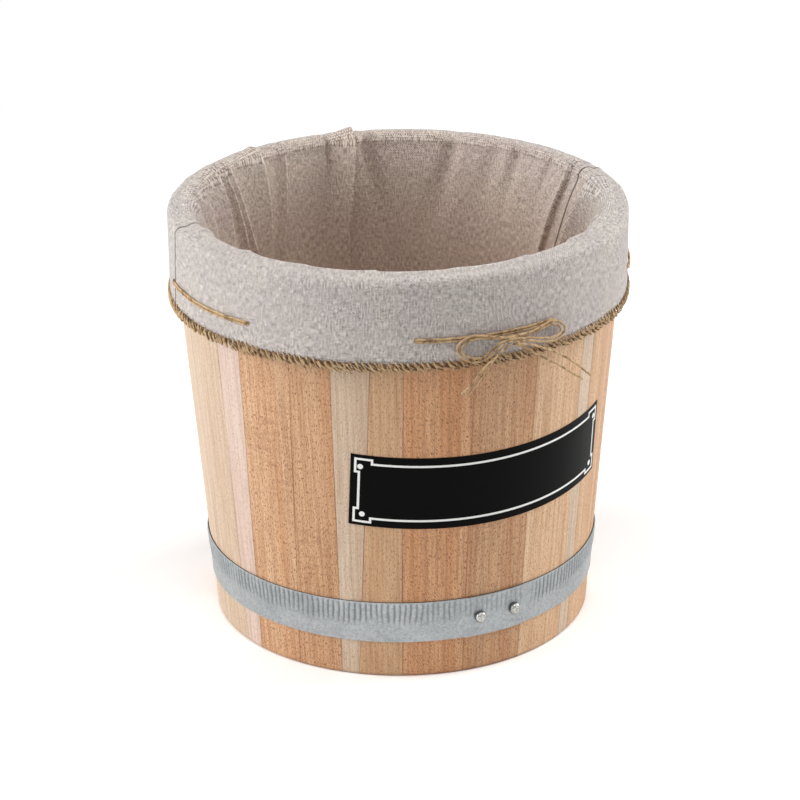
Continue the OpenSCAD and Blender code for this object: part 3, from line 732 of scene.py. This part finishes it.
# How deep the drawstring presses into the cuff, and how high the panel's edge stands at a seam.
STRING_PULL, STRING_HALF = 0.00025, 0.0035
SEAM_RISE, SEAM_HALF = 0.0006, 0.003


def drift(pair, z):
    """Where something at pair[0] degrees at the rim and pair[1] low down is, at a height."""
    return pair[0] + (pair[1] - pair[0]) * held((TURN_Z - z) / FOLD_RUN)


def cloth_point(angle, j):
    """A point of the cloth in one of the section's rows, with its folds, waves and creases."""
    (r, z), free = SECTION[j], SECTION_FREE[j]
    run = SECTION_RUN[j] - RIM_RUN
    inside = run > 0
    share = held((TURN_Z - z) / (TURN_Z - BAG_FOOT_Z)) if inside else 0.0
    behind = math.cos(math.radians(angle - BACK_ANGLE))
    fade = np.interp(run - FRONT_DELAY * max(0.0, -behind), *DEPTH_AT)
    depth = turn = 0.0
    for at_rim, low, width, fold_depth, crisp, reach in FOLDS:
        off = (angle - (drift((at_rim, low), z) if inside else at_rim) + 180) % 360 - 180
        side = 1 - STEEPER * abs(crisp) if off * crisp > 0 else 1 + GENTLER * abs(crisp)
        if fold_depth < 0:
            side *= 1 + max(0.0, run) * DIMPLE_WIDENS
        t = abs(off) / (width * side)
        if t < 1:
            crest = (0.5 + 0.5 * math.cos(math.pi * t)) * (1 - abs(crisp)) + (1 - t) ** 1.2 * abs(crisp)
            crest *= fade * math.exp(-(max(0.0, run) * 1000 / reach) ** 2)
            depth += fold_depth * 0.001 * crest
            turn += crisp * 0.5 * crest * (fold_depth > 0)
    way = math.radians(angle)
    round_at = Vector((math.cos(way) * 3.2, math.sin(way) * 3.2, 0))
    if inside:
        slack = run / BULGE_RUN
        loose = held(share * 6)
        slow = noise.noise(round_at * 1.3 + Vector((0, 0, z * 9)))
        crease = noise.noise(round_at * 4.5 + Vector((0, 5, z * 22)))
        depth += BULGE_DEPTH * slack * math.exp(1 - slack)
        waves = BAG_WAVES[0] * (1 + slow) / 2 + BAG_WAVES[1] * (1 + crease) / 2
        depth += loose * waves * (1 - 0.6 * share)
    crown = max(0.0, behind) * math.exp(-(run / CROWN_HALF) ** 2) * CROWN_RISE
    depth = max(depth + crown, 0.0)
    if not inside:
        hang = held((HANG_Z - z) / HANG_RUN)
        slow = noise.noise(round_at * 1.6 + Vector((3, 0, z * 8)))
        ripple = noise.noise(round_at * 6 + Vector((0, 9, z * 14)))
        depth += hang * (CUFF_WAVES[0] * slow + CUFF_WAVES[1] * ripple)
        for stretch in STRETCHES:
            off = abs((angle - stretch + 180) % 360 - 180) / STRETCH_HALF
            if off < 1.15:
                pull = max(0.0, 1 - off ** 4)
                depth -= STRING_PULL * pull * math.exp(-((z - STRING_Z) / STRING_HALF) ** 2)
    return angle + turn, r, z, free, depth


print("the cloth bulges by up to", BULGE_DEPTH * 1000, "mm below the rim")

# %% A panel's columns, and where the cloth gets its painted warm bounce light
EVEN_COLUMNS, LEAST_APART = 256, 0.1


def columns_between(left, right):
    """Angles at the rim for a panel's columns: even, and closer where a fold turns sharply."""
    spots = [left + (right - left) * k / EVEN_COLUMNS for k in range(EVEN_COLUMNS + 1)]
    for at_rim, _, width, _, crisp, _ in FOLDS:
        sharp = width * (1 - STEEPER * abs(crisp)) * (1 if crisp > 0 else -1)
        spots += [at_rim + sharp * k / 3 for k in range(-2, 5)]
    kept = []
    for spot in sorted(s for s in spots if left <= s <= right):
        if not kept or spot - kept[-1] > LEAST_APART:
            kept.append(spot)
    kept[-1] = right
    return np.array(kept)


def warm_bounce_share(angle, run):
    """How much painted warm bounce light and shade the cloth gets: soon behind the back rim, later in front.
    """
    back = max(0.0, math.cos(math.radians(angle - 165))) ** 0.5
    start = held((run + 0.007 * back) / 0.012)
    return 0.5 * back * start + (1 - 0.5 * back) * held(run / 0.09)


print("the front panel has", len(columns_between(SEAMS[0][0], SEAMS[1][0])), "columns")

# %% Sew the two panels
# The height below which the seams lean apart on the cuff, and by how many degrees a metre.
LEAN_Z, SEAM_LEAN = 0.285, 40
# The radius at which the weave has its true width, and how far the back panel runs on under the
# front one, in degrees.
WEAVE_R, UNDERLAP = 0.147, 0.9


def cloth(name, points, faces, weave, bagward, seam, side):
    """A linen sheet as a piece, with the values on it that its finish reads."""
    mesh = mesh_of(name, points, faces=faces)
    corners = np.zeros(len(mesh.loops), np.int32)
    mesh.loops.foreach_get("vertex_index", corners)
    uv = np.array(weave)[corners].astype(np.float32)
    mesh.uv_layers.new(name="weave").data.foreach_set("uv", uv.ravel())
    for label, values in (("bagward", bagward), ("seam", seam)):
        kept = mesh.attributes.new(label, "FLOAT", "POINT")
        kept.data.foreach_set("value", np.array(values, np.float32))
    mesh.shade_smooth()
    mesh.materials.append(finishes["linen"])
    piece = put_in(name, mesh)
    thick = piece.modifiers.new("cloth", "SOLIDIFY")
    thick.thickness, thick.offset = CLOTH_T, side
    print(name, "has", len(faces), "faces")
    return piece


def panel(name, ends, under):
    """A panel between two seams. The back one runs on under the front one by some degrees."""
    points, weave, bagward, seam, faces = [], [], [], [], []
    rows, rim_ends = len(SECTION), (ends[0][0], ends[1][0])
    at_rim = columns_between(rim_ends[0] - under, rim_ends[1] + under)
    knots = sorted([e[:2] for e in ends] + [f[:2] for f in FOLDS if rim_ends[0] < f[0] < rim_ends[1]])
    low_down = at_rim + np.interp(at_rim, [k[0] for k in knots], [k[1] - k[0] for k in knots])
    across, columns = np.linspace(0, 1, len(at_rim)), len(at_rim)
    for j in range(rows):
        z = SECTION[j][1]
        inside = SECTION_RUN[j] > RIM_RUN
        left, right = (drift(e, z) if inside else e[0] + (LEAN_Z - z) * SEAM_LEAN * e[2] for e in ends)
        angles = drift((at_rim, low_down), z) if inside else (
            at_rim + (left - rim_ends[0]) * (1 - across) + (right - rim_ends[1]) * across)
        for angle in angles:
            turned, r, z, free, depth = cloth_point(angle, j)
            edge = math.radians(min(angle - left, right - angle)) * r
            if not under:
                depth += SEAM_RISE * max(0.0, 1 - edge / SEAM_HALF) ** 0.5
            points.append(place(turned, z + free[1] * depth, r + free[0] * depth))
            weave.append((math.radians(angle) * WEAVE_R, SECTION_RUN[j]))
            bagward.append(warm_bounce_share(angle, SECTION_RUN[j] - RIM_RUN))
            seam.append(abs(edge) if not under else 1.0)
    for j in range(rows - 1):
        for i in range(columns - 1):
            a = j * columns + i
            faces.append((a, a + 1, a + columns + 1, a + columns))
    return cloth(name, points, faces, weave, bagward, seam, 0)


left_seam, right_seam = (*SEAMS[0], -1), (*SEAMS[1], 1)
liner_front = panel("liner_panel_front", (left_seam, right_seam), 0)
left_seam_round = (SEAMS[0][0] + 360, SEAMS[0][1] + 360, -1)
liner_back = panel("liner_panel_back", (right_seam, left_seam_round), UNDERLAP)

# %% Lay the round base
BASE_Z, BASE_R, RINGS, SPOKES = 0.03265, inner_r(0.0323) - 0.0005, 26, 120
SWELL, WRINKLE = 0.0009, 0.00035
points, faces = [Vector((0, 0, BASE_Z))], []
for k in range(1, RINGS + 1):
    for i in range(SPOKES):
        p = place(360 * i / SPOKES, BASE_Z, BASE_R * k / RINGS)
        p.z += SWELL * max(0.0, noise.noise(p * 26) + 0.15) + WRINKLE * max(0.0, noise.noise(p * 90))
        points.append(p)
for i in range(SPOKES):
    faces.append((0, 1 + i, 1 + (i + 1) % SPOKES))
    for k in range(RINGS - 1):
        a, b = 1 + k * SPOKES + i, 1 + k * SPOKES + (i + 1) % SPOKES
        faces.append((a, a + SPOKES, b + SPOKES, b))
whole = [1.0] * len(points)
base_cloth = cloth("liner_base_cloth", points, faces, [tuple(p.xy) for p in points], whole, whole, 1)

# %% [markdown]
# ## Beech staves
#
# The staves are beech, sawn from many boards, so no two match: some are pale, some pink, some
# orange with dark ray flecks, some curly. Each is a plank planed to a taper, hollowed and rounded
# at the rim, with joints that lean a little where the cooper used a crooked board. A tree does the
# same to a plank of unit size: it looks up the wall's section row by row, bends the plank between
# its two joints, and keeps each point's place on the flat board, so that the finish can draw grain
# that runs along the board whatever way it leans.

# %% The finish of beech
def board_wood(bench, board, seed, base, dark, light, fleck, coarse, slant, curl):
    """Grain, bands and ray flecks of a board, whose own length is the vector's Z."""
    x, across, z = bench.apart(board)
    x = x + seed * 0.37
    wander = (bench.mottle(x * 18, z * 5, seed, 1) - 0.5) * 0.006
    x = x + wander
    band = bench.mottle(x * 75, across * 75, z * 2.2)
    streak = bench.mottle(x * 420, across * 420, z * 9)
    grain = bench.mottle(x * 1500, across * 1500, z * 45)
    dash = bench.mottle((x + z * slant) * coarse, across * coarse, z * 420, 1)
    fine = bench.mottle(x * 2300, across * 2300, z * 560 + seed, 1)
    ripple = bench.mottle(x * 90 + z * 30, seed, z * 620, 1)
    region = bench.mottle(x * 22, seed * 5, z * 11, 1).rise(0.5, 0.62)
    shade = bench.blend(band.rise(0.32, 0.68), paint(base), paint(light))
    for share in (streak.rise(0.38, 0.72) * 0.38, grain.rise(0.42, 0.68) * 0.3,
                  dash.rise(0.57, 0.66) * fleck, fine.rise(0.52, 0.66) * 0.6 * fleck,
                  ripple.rise(0.45, 0.65) * region * curl):
        shade = bench.blend(share, shade, paint(dark))
    return shade, grain * 0.5 + streak * 0.5 - dash.rise(0.53, 0.66) * 0.4


def beech(base, dark, light, fleck, coarse, slant=0.0, curl=0.0):
    """The recipe for staves of one tone, darker in the joints and on the end grain of the foot."""
    def recipe(bench):
        board = bench.attribute("board", "Vector")
        seed, edge = bench.attribute("seed"), bench.attribute("edge")
        shade, height = board_wood(bench, board, seed, base, dark, light, fleck, coarse, slant, curl)
        lift = bench.blend(bench.attribute("rich"), (1.16, 1.22, 1.30, 1), (0.86, 0.80, 0.72, 1))
        shade = bench.blend(1.0, shade, lift, "MULTIPLY")
        _, _, z = bench.apart(board)
        uneven = bench.mottle(z * 14, seed, 0, 1).rise(0.35, 0.65)
        joint = (1 - edge.rise(0.00005, 0.0006)) * (0.12 + 0.5 * uneven)
        shade = bench.blend(joint, shade, paint("#7A4A2C"))
        shade = bench.blend((1 - z.rise(0.0004, 0.003)) * 0.35, shade, paint("#8E5C38"))
        rough = 0.5 + height * 0.12
        return {"Base Color": shade, "Roughness": rough, "Normal": bench.bump(height, 0.00004, 0.5)}
    return recipe


finish("beech_pale", beech("#DCC3AA", "#A8805C", "#E4D1BB", 0.6, coarse=1500))
finish("beech_pink", beech("#E2CABC", "#B48A70", "#EAD8CC", 0.6, coarse=1300, slant=0.5))
finish("beech_tan", beech("#D6AA80", "#94603A", "#E3BE96", 0.65, coarse=1400))
finish("beech_orange", beech("#D9A67A", "#8A4E2A", "#E5BC93", 0.85, coarse=1300, slant=-0.2, curl=0.2))
finish("beech_brown", beech("#DDA06E", "#86502C", "#E9B588", 0.9, coarse=1400, slant=0.5))

# %% The tree that bends a plank into a stave
def stave_tree():
    bench, given = start_tree(
        "Bend a plank into a stave", Int=["Columns", "Rows"],
        Float=["Left joint", "Right joint", "Left lean", "Right lean", "Joint gap", "Middle height",
               "Seed", "Richness"])
    plank = bench.node("GeometryNodeMeshCube", None, {
        "Size": (1, 1, 1), "Vertices X": given["Columns"], "Vertices Y": 3, "Vertices Z": given["Rows"]})
    here = bench.node("GeometryNodeInputPosition")
    x, y, z = bench.apart(here)
    across, through = x + 0.5, 0.5 - y
    step = ((z + 0.5) * (given["Rows"] - 1) + 0.5).floor()
    row = bench.node("GeometryNodeSampleIndex", {"data_type": "FLOAT_VECTOR", "domain": "POINT"},
                     {0: given["Blank"], 1: here, 2: step})
    inner, outer, height = bench.apart(row)
    radius = inner + (outer - inner) * through
    above = height - given["Middle height"]
    rad = math.pi / 180
    left = given["Left joint"] * rad + (above * (given["Left lean"] * rad).tan()
                                        + given["Joint gap"] / 2) / radius
    right = given["Right joint"] * rad + (above * (given["Right lean"] * rad).tan()
                                          - given["Joint gap"] / 2) / radius
    angle = left + (right - left) * across
    middle = (given["Left joint"] + given["Right joint"]) / 2 * rad
    board = bench.vector((angle - middle) * radius, radius - outer, height)
    stave = store(bench, plank, "board", board)
    stave = store(bench, stave, "edge", across.least(1 - across) * (right - left) * radius, "FLOAT")
    stave = store(bench, stave, "seed", given["Seed"], "FLOAT")
    stave = store(bench, stave, "rich", given["Richness"], "FLOAT")
    stave = bench.node("GeometryNodeSetPosition", None,
                       {0: stave, "Position": bench.place(angle, height, radius)})
    return end_tree(bench, shade_parts(bench, stave, 0.6), given)


stave_maker = stave_tree()


# %% The staves one by one, and the wall's section
# Share of the ring, lean of the left joint in degrees, tone, and how rich the tone is, going round
# from the left of the label.
STAVES = [(8, .2, "pink", .55), (15.9, 1.6, "orange", .5), (12.1, 2, "orange", .65), (8.5, .4, "pale", .6),
          (9.7, 3.3, "tan", .5), (18, .6, "brown", .5), (18.3, .6, "orange", .75), (18, .3, "tan", .0),
          (5.3, 0, "pale", .5), (14, 0, "tan", .3), (11, 1, "orange", .4), (17, 0, "pale", .5),
          (9, -1.5, "brown", .4), (13, 0, "tan", .3), (16, .5, "orange", .7), (8, 0, "pink", .5),
          (14, 2, "tan", .5), (18, 0, "pale", .3), (10, -1, "orange", .5), (12, 0, "brown", .6),
          (15, 1.5, "pale", .7), (9, 0, "tan", .4), (17, -.5, "orange", .3), (13, 0, "pink", .6),
          (16, 1, "orange", .3), (18, 0, "pale", .5), (16.2, -1, "pale", .7)]
FIRST_JOINT, JOINT_GAP = -80.6, 0.0001
RIM_ROUND, FOOT_CHAMFER = 0.003, 0.001
BOARD_Z, BOARD_TOP, CROZE = 0.022, 0.0322, 0.004


def wall_rows():
    """(inner radius, outer radius, height) up the wall: foot, croze, hollow and rounded rim."""
    rows = [(inner_r(0) + FOOT_CHAMFER, outer_r(0) - FOOT_CHAMFER, 0),
            (inner_r(FOOT_CHAMFER), outer_r(FOOT_CHAMFER), FOOT_CHAMFER),
            (inner_r(BOARD_Z), outer_r(BOARD_Z), BOARD_Z),
            (inner_r(BOARD_Z) + CROZE, outer_r(BOARD_Z), BOARD_Z + 0.00001),
            (inner_r(BOARD_Z) + CROZE, outer_r(BOARD_TOP), BOARD_TOP - 0.00001),
            (inner_r(BOARD_TOP), outer_r(BOARD_TOP), BOARD_TOP)]
    top = STAVE_H - RIM_ROUND
    rows += [(inner_r(z), outer_r(z), z) for z in np.linspace(0.05, top, 9)]
    inset = RIM_ROUND / math.cos(TAPER)
    middle_in, middle_out = inner_r(top) + inset, outer_r(top) - inset
    for t in np.radians([15, 30, 45, 60, 75, 90]):
        rows.append((middle_in - RIM_ROUND * math.cos(t), middle_out + RIM_ROUND * math.cos(t),
                     top + RIM_ROUND * math.sin(t)))
    return rows


wall = wall_rows()
print("the wall's section has", len(wall), "rows")

# %% Raise the staves
shares = [s[0] for s in STAVES]
joints = [FIRST_JOINT + 360 * sum(shares[:i]) / sum(shares) for i in range(len(STAVES) + 1)]
staves = []
for i, (_, lean, tone, rich) in enumerate(STAVES):
    node = f"stave_{i + 1:02d}"
    stave = work(f"{node}_board", mesh_of(node, wall), stave_maker, f"beech_{tone}",
                 Left_joint=joints[i], Right_joint=joints[i + 1], Left_lean=float(lean),
                 Right_lean=float(STAVES[(i + 1) % len(STAVES)][1]), Joint_gap=JOINT_GAP,
                 Middle_height=STAVE_H / 2, Columns=max(6, round((joints[i + 1] - joints[i]) / 1.2)),
                 Rows=len(wall), Seed=i * 1.37, Richness=rich)
    staves.append((stave, node))
print(len(staves), "staves, from", round(min(shares) / sum(shares) * 360, 1), "to",
      round(max(shares) / sum(shares) * 360, 1), "degrees wide")

# %% [markdown]
# ## The bottom boards
#
# Four edge-jointed boards make the bottom and sit in the croze, a groove cut round the inside of
# the staves. Their CAD solids have the right shape, so they stay and only get a finish: the same
# beech, with its grain along the boards. Being flat, they can use plain object coordinates. The
# pattern starts anew at every board's width.

# %% Finish the boards
def bottom_wood(bench):
    x, y, z = bench.apart(bench.object_place())
    plank = (y * 16.1 + 0.5).floor()
    board = bench.vector(y + plank * 0.13, z, x)
    shade, height = board_wood(bench, board, plank * 1.9, "#DDB692", "#AE8059", "#E8C9A9",
                               fleck=0.5, coarse=1000, slant=0.0, curl=0.0)
    return {"Base Color": shade, "Normal": bench.bump(height, 0.00012, 0.7)}


finish("board_wood", bottom_wood, Roughness=0.6)


def dress(node, slot):
    """Gives a CAD node, whose shape is right, its finish."""
    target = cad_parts[node]
    if not target.material_slots:
        target.data.materials.append(finishes[slot])
    for holder in target.material_slots:
        holder.material = finishes[slot]


for i in (1, 2, 3, 4):
    dress(f"bottom_board_{i}", "board_wood")
print("4 bottom boards finished")

# %% [markdown]
# ## The ribbed galvanised hoops
#
# A hoop is one strip of galvanised steel, rolled so that its upper half is crimped into small
# upright ribs. The ribs shorten that edge, which makes the strip fit the cone. It laps over its
# own end, where two rivets close it. The tree bends a flat bar round the wall, lets the outer end
# climb over the inner one, and swells it into ribs that fade out downwards.

# %% The finish of galvanised strip
WALL_SPREAD = (RIM_R - FOOT_R) / STAVE_H


def off_wall(bench, here):
    """How far a point stands off the staves, measured level."""
    x, y, z = bench.apart(here)
    return from_axis(x, y) - (z * WALL_SPREAD + FOOT_R)


def galvanised(bench):
    here = bench.object_place()
    spangle = bench.node("ShaderNodeTexVoronoi", None, {"Vector": here, "Scale": 620.0}, out="Color")
    flake, _, _ = bench.apart(spangle)
    speck = bench.noise(here, 1300, 2)
    cloud = bench.noise(here, 45, 2)
    tone = flake * 0.22 + speck * 0.7 + cloud * 0.35
    shade = bench.blend(tone.rise(0.35, 0.95), paint("#93989A"), paint("#BABEC0"))
    # painted shade in the valleys between the ribs, deepest where the crimp is strongest
    shade = bench.blend(bench.attribute("crimp"), shade, paint("#5F6466"))
    # painted shadow: the strip's edges and underside, which lie closest to the wall, are darkened
    shade = bench.blend(1 - off_wall(bench, here).rise(0.00055, 0.00088), shade, paint("#2B2A2A"))
    return {"Base Color": shade, "Roughness": 0.42 + speck * 0.2,
            "Normal": bench.bump(speck + flake * 0.3, 0.00004, 0.5)}


finish("galvanised_strip", galvanised, Metallic=0.7)


# %% The tree that rolls a hoop
def hoop_tree():
    bench, given = start_tree(
        "Roll a ribbed hoop", Int=["Columns", "Rows"],
        Float=["Foot height", "Strip height", "Thickness", "Stand off", "Inner end", "Lap", "Climb",
               "Rib pitch", "Rib depth"])
    bar = bench.node("GeometryNodeMeshCube", None, {
        "Size": (1, 1, 1), "Vertices X": given["Columns"], "Vertices Y": 2, "Vertices Z": given["Rows"]})
    x, y, z = bench.apart(bench.node("GeometryNodeInputPosition"))
    along = (x + 0.5) * (360 + given["Lap"])
    height = given["Foot height"] + (z + 0.5) * given["Strip height"]
    climb = along.rise(360 - given["Climb"], 359.8) * (given["Thickness"] + SLACK)
    wobble = bench.mottle(along * 0.22, (z + 0.5) * 1.6, 0, 1)
    uneven = bench.mottle(along * 0.09, 3, (z + 0.5) * 1.2)
    wave = ((along / given["Rib pitch"] + wobble * 0.9) * (2 * math.pi)).cos() * 0.5 + 0.5
    reach = (z + 0.5 + (uneven - 0.5) * 0.5).rise(0.34, 0.62) * (1 - (z + 0.5).rise(0.965, 1.0))
    clear = along.rise(given["Lap"] + 1, given["Lap"] + 7) * (1 - along.rise(352, 358) * 0.45)
    crimp = reach * clear * (0.35 + uneven * 1.3)
    rib = (wave ** 0.7) * crimp * given["Rib depth"]
    lip = (1 - (z + 0.5).rise(0.0, 0.03)) * 0.0001 + (z + 0.5).rise(0.97, 1.0) * 0.0001
    radius = (height * WALL_SPREAD + FOOT_R + given["Stand off"] + climb + rib + lip
              + (0.5 - y) * given["Thickness"])
    angle = (given["Inner end"] + along) * (math.pi / 180)
    # the value kept for the finish is painted shade, darkest in the valleys between ribs
    hoop = store(bench, bar, "crimp", ((1 - wave) ** 3) * crimp * 0.75, "FLOAT")
    hoop = bench.node("GeometryNodeSetPosition", None,
                      {0: hoop, "Position": bench.place(angle, height, radius)})
    return end_tree(bench, shade_parts(bench, hoop, 1.0), given)


roller = hoop_tree()

# %% Roll the two hoops
HOOP_H, HOOP_T, HOOP_FIT, LAP, RIVET_PITCH = 0.030, 0.0008, 0.0001, 17.0, 11.0
HOOPS = {"lower_hoop": (0.027, 1.0, 0.0042), "upper_hoop": (0.233, 150.0, 0.0006)}
hoops = []
for node, (foot, lap, _) in HOOPS.items():
    hoop = work(f"{node}_strip", mesh_of(node, []), roller, "galvanised_strip", Foot_height=foot,
                Strip_height=HOOP_H, Thickness=HOOP_T, Stand_off=HOOP_FIT, Inner_end=lap - LAP / 2,
                Lap=LAP, Climb=3.5, Rib_pitch=1.58, Rib_depth=0.0006, Columns=1921, Rows=17)
    hoops.append((hoop, node))
    print(hoop.name, "has", len(hoop.data.polygons), "faces")

# %% [markdown]
# ## The rivets
#
# Two rivets close each hoop's lap: tall round-headed ones outside on the lower hoop, flat ones on
# the upper hoop, which the liner has to slide over. A rivet is turned, so its head is spun
# from half a section; the tree then sets copies along the lap, square to the sloping wall.

# %% The finish of the rivets
def rivet_steel(bench):
    here = bench.object_place()
    haze = bench.noise(here, 700, 3)
    shade = bench.blend(haze.rise(0.3, 0.7), paint("#8E8F8D"), paint("#C4C4C1"))
    # painted shade: the rivet is darker the closer it lies to the wall, round the foot of its head
    shade = bench.blend((1 - off_wall(bench, here).rise(0.0022, 0.0046)) * 0.8, shade, paint("#343434"))
    return {"Base Color": shade, "Roughness": 0.16 + haze * 0.16, "Normal": bench.bump(haze, 0.00003, 0.4)}


finish("rivet_steel", rivet_steel, Metallic=1.0)


# %% The tree that sets rivets, and a turned rivet
def rivet_tree():
    bench, given = start_tree("Set rivets along a lap", Int=["Count"],
                              Float=["Pitch", "Middle", "Height", "Wall radius", "Wall slope"])
    spots = bench.node("GeometryNodeMeshLine", None, {"Count": given["Count"]})
    place_in_row = bench.node("GeometryNodeInputIndex") - (given["Count"] - 1) / 2
    angle = (given["Middle"] + place_in_row * given["Pitch"]) * (math.pi / 180)
    spots = bench.node("GeometryNodeSetPosition", None, {
        0: spots, "Position": bench.place(angle, given["Height"], given["Wall radius"])})
    level, down = given["Wall slope"].cos(), -given["Wall slope"].sin()
    facing = bench.node("FunctionNodeAlignRotationToVector", {"axis": "Z"},
                        {"Vector": bench.place(angle, down, level)})
    rivets = bench.node("GeometryNodeInstanceOnPoints", None,
                        {0: spots, "Instance": given["Blank"], "Rotation": facing})
    return end_tree(bench, rivets, given)


setter = rivet_tree()


def turned(name, profile, sides=48):
    """Spins a profile of (radius, height), from the foot's middle to the head's, into a piece."""
    points, faces = [Vector((0, 0, profile[0][1]))], []
    for r, z in profile[1:-1]:
        points += [Vector((r * math.cos(t), r * math.sin(t), z))
                   for t in (2 * math.pi * k / sides for k in range(sides))]
    points.append(Vector((0, 0, profile[-1][1])))
    top, rings = len(points) - 1, len(profile) - 2
    for k in range(sides):
        n = (k + 1) % sides
        faces += [(0, 1 + n, 1 + k), (top, 1 + (rings - 1) * sides + k, 1 + (rings - 1) * sides + n)]
        faces += [(1 + j * sides + k, 1 + j * sides + n, 1 + (j + 1) * sides + n, 1 + (j + 1) * sides + k)
                  for j in range(rings - 1)]
    mesh = mesh_of(name, points, faces=faces)
    mesh.shade_smooth()
    return mesh


def rivet_profile(head_h, head_r=0.004, shank_r=0.002):
    """A rivet from the wall out: its shank through the lapped strip, and its rounded head."""
    seat = HOOP_FIT + 2 * HOOP_T + 2 * SLACK
    rounding = min(head_h, head_r) * 0.6
    crown = [(head_r - rounding + rounding * math.cos(t), seat + head_h - rounding * (1 - math.sin(t)))
             for t in np.radians(np.linspace(0, 90, 8))]
    foot = [(0, SLACK), (shank_r, SLACK), (shank_r, seat), (head_r - 0.0002, seat), (head_r, seat + 0.0002)]
    top = [(head_r * 0.2, seat + head_h + 0.00004), (0, seat + head_h + 0.00005)]
    return foot + crown + top


# %% Set the rivets
rivets = []
for node, (foot, lap, head_h) in HOOPS.items():
    middle = foot + HOOP_H / 2
    pair = work(f"{node}_rivet_pair", turned(node, rivet_profile(head_h)), setter, "rivet_steel", Count=2,
                Pitch=RIVET_PITCH, Middle=lap, Height=middle, Wall_radius=outer_r(middle),
                Wall_slope=TAPER)
    rivets.append((pair, node + "_rivets"))
    print(pair.name, "has", len(pair.data.polygons), "faces")

# %% [markdown]
# ## The blank label
#
# The label is a smooth black writing surface, wrapped round the staves, with a white printed frame
# whose corners step outwards round a dot. It is blank, and stays so. The CAD solids have its exact
# shape, so they only get their finishes: a faint sheen with rubbed patches on the black, and a
# slightly uneven white print.

# %% Finish the label
def label_black(bench):
    rubbed = bench.noise(bench.object_place(), 30, 3)
    dust = bench.noise(bench.object_place(), 900, 2)
    shade = bench.blend(dust.rise(0.55, 0.8) * 0.5, paint("#030303"), paint("#0E0E0F"))
    return {"Base Color": shade, "Roughness": 0.30 + rubbed * 0.16}


def label_white(bench):
    ink = bench.noise(bench.object_place(), 1200, 2)
    return {"Base Color": bench.blend(ink.rise(0.3, 0.8), paint("#FBFBF9"), paint("#ECECE8"))}


finish("label_black", label_black, Specular_IOR_Level=0.05)
finish("label_white", label_white, Roughness=0.55)
dress("label_panel", "label_black")
dress("label_border", "label_white")

# %% [markdown]
# ## The studio
#
# The photograph is a cut-out on white under large soft lamps. Two of much the same strength stand
# to the left and the right, so both sides are bright. A weaker one hangs high in front, for the
# label and the hoop. A pale floor keeps the firkin's shadow. White comes from the floor's and the
# world's colour as the camera sees them, not from more light.

# %% Floor, world and lamps
FLOOR_HALF = 1.2
corners = [(x * FLOOR_HALF, y * FLOOR_HALF, -0.0002) for x, y in ((-1, -1), (1, -1), (1, 1), (-1, 1))]
floor = put_in("studio_floor", mesh_of("studio_floor", corners, faces=[(0, 1, 2, 3)]))
FLOOR_PLAIN, FLOOR_SEEN, WORLD_LIGHT = 0.80, 1.14, 0.40


def seen(bench):
    """1 for what the camera, a reflection or a clear pane sees, and 0 for the light itself."""
    rays = bench.node("ShaderNodeLightPath", out=("Is Camera Ray", "Is Glossy Ray", "Is Transmission Ray"))
    return (rays[0] + rays[1] + rays[2]).least(1.0)


def studio_floor(bench):
    plain, white = (FLOOR_PLAIN,) * 3 + (1,), (FLOOR_SEEN,) * 3 + (1,)
    return {"Base Color": bench.blend(seen(bench), plain, white)}


floor.data.materials.append(finish("studio_floor", studio_floor, Roughness=1.0, Specular_IOR_Level=0.0))

world = bpy.data.worlds.new("studio")
bpy.context.scene.world = world
world.use_nodes = True
world.node_tree.nodes.clear()
air = Bench(world.node_tree)
light = air.node("ShaderNodeBackground", None, {
    "Color": (1, 1, 1, 1), "Strength": seen(air) * (1 - WORLD_LIGHT) + WORLD_LIGHT})
world.node_tree.links.new(light.socket, world.node_tree.nodes.new("ShaderNodeOutputWorld").inputs[0])


LAMPS = {"left_lamp": (-108, 24, 2.2, 1.5, 36), "right_lamp": (80, 30, 2.4, 1.4, 38),
         "front_lamp": (-22, 66, 2.4, 1.0, 12)}
for name, (angle, up, distance, size, power) in LAMPS.items():
    lamp = bpy.data.lights.new(name, "AREA")
    lamp.energy, lamp.size = power, size
    aim(name, lamp, angle, up, distance)
bpy.context.scene.view_settings.view_transform = "Standard"
print(len(LAMPS), "lamps, world light", WORLD_LIGHT)

# %% [markdown]
# ## Hand the pieces to the frame
#
# Each piece rides on the body that its CAD solids belong to: the bucket stays, and the whole liner
# lifts out with its edging, drawstring and bow. A piece that stands for a CAD solid hides it.

# %% Ride and replace
for piece, node in staves + hoops + rivets:
    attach(piece, "bucket")
    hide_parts(node)
for piece, nodes in ((liner_front, ["liner_cuff_front", "liner_bag_front"]),
                     (liner_back, ["liner_cuff_back", "liner_bag_back"]), (base_cloth, ["liner_base"]),
                     (edging, ["cuff_edging"]), (drawstring, ["drawstring"]), (knot, ["bow_knot"])):
    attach(piece, "liner")
    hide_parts(*nodes)
print(len(staves + hoops + rivets), "pieces ride on the bucket, and 6 on the liner besides the bow's")

for strand, node, line in strands:
    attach(strand, "liner")
    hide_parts(node)
    run_length(line)
    "object" if "loop" in node else "bare"
print(len(strands), "cords and 3 sheets declared")
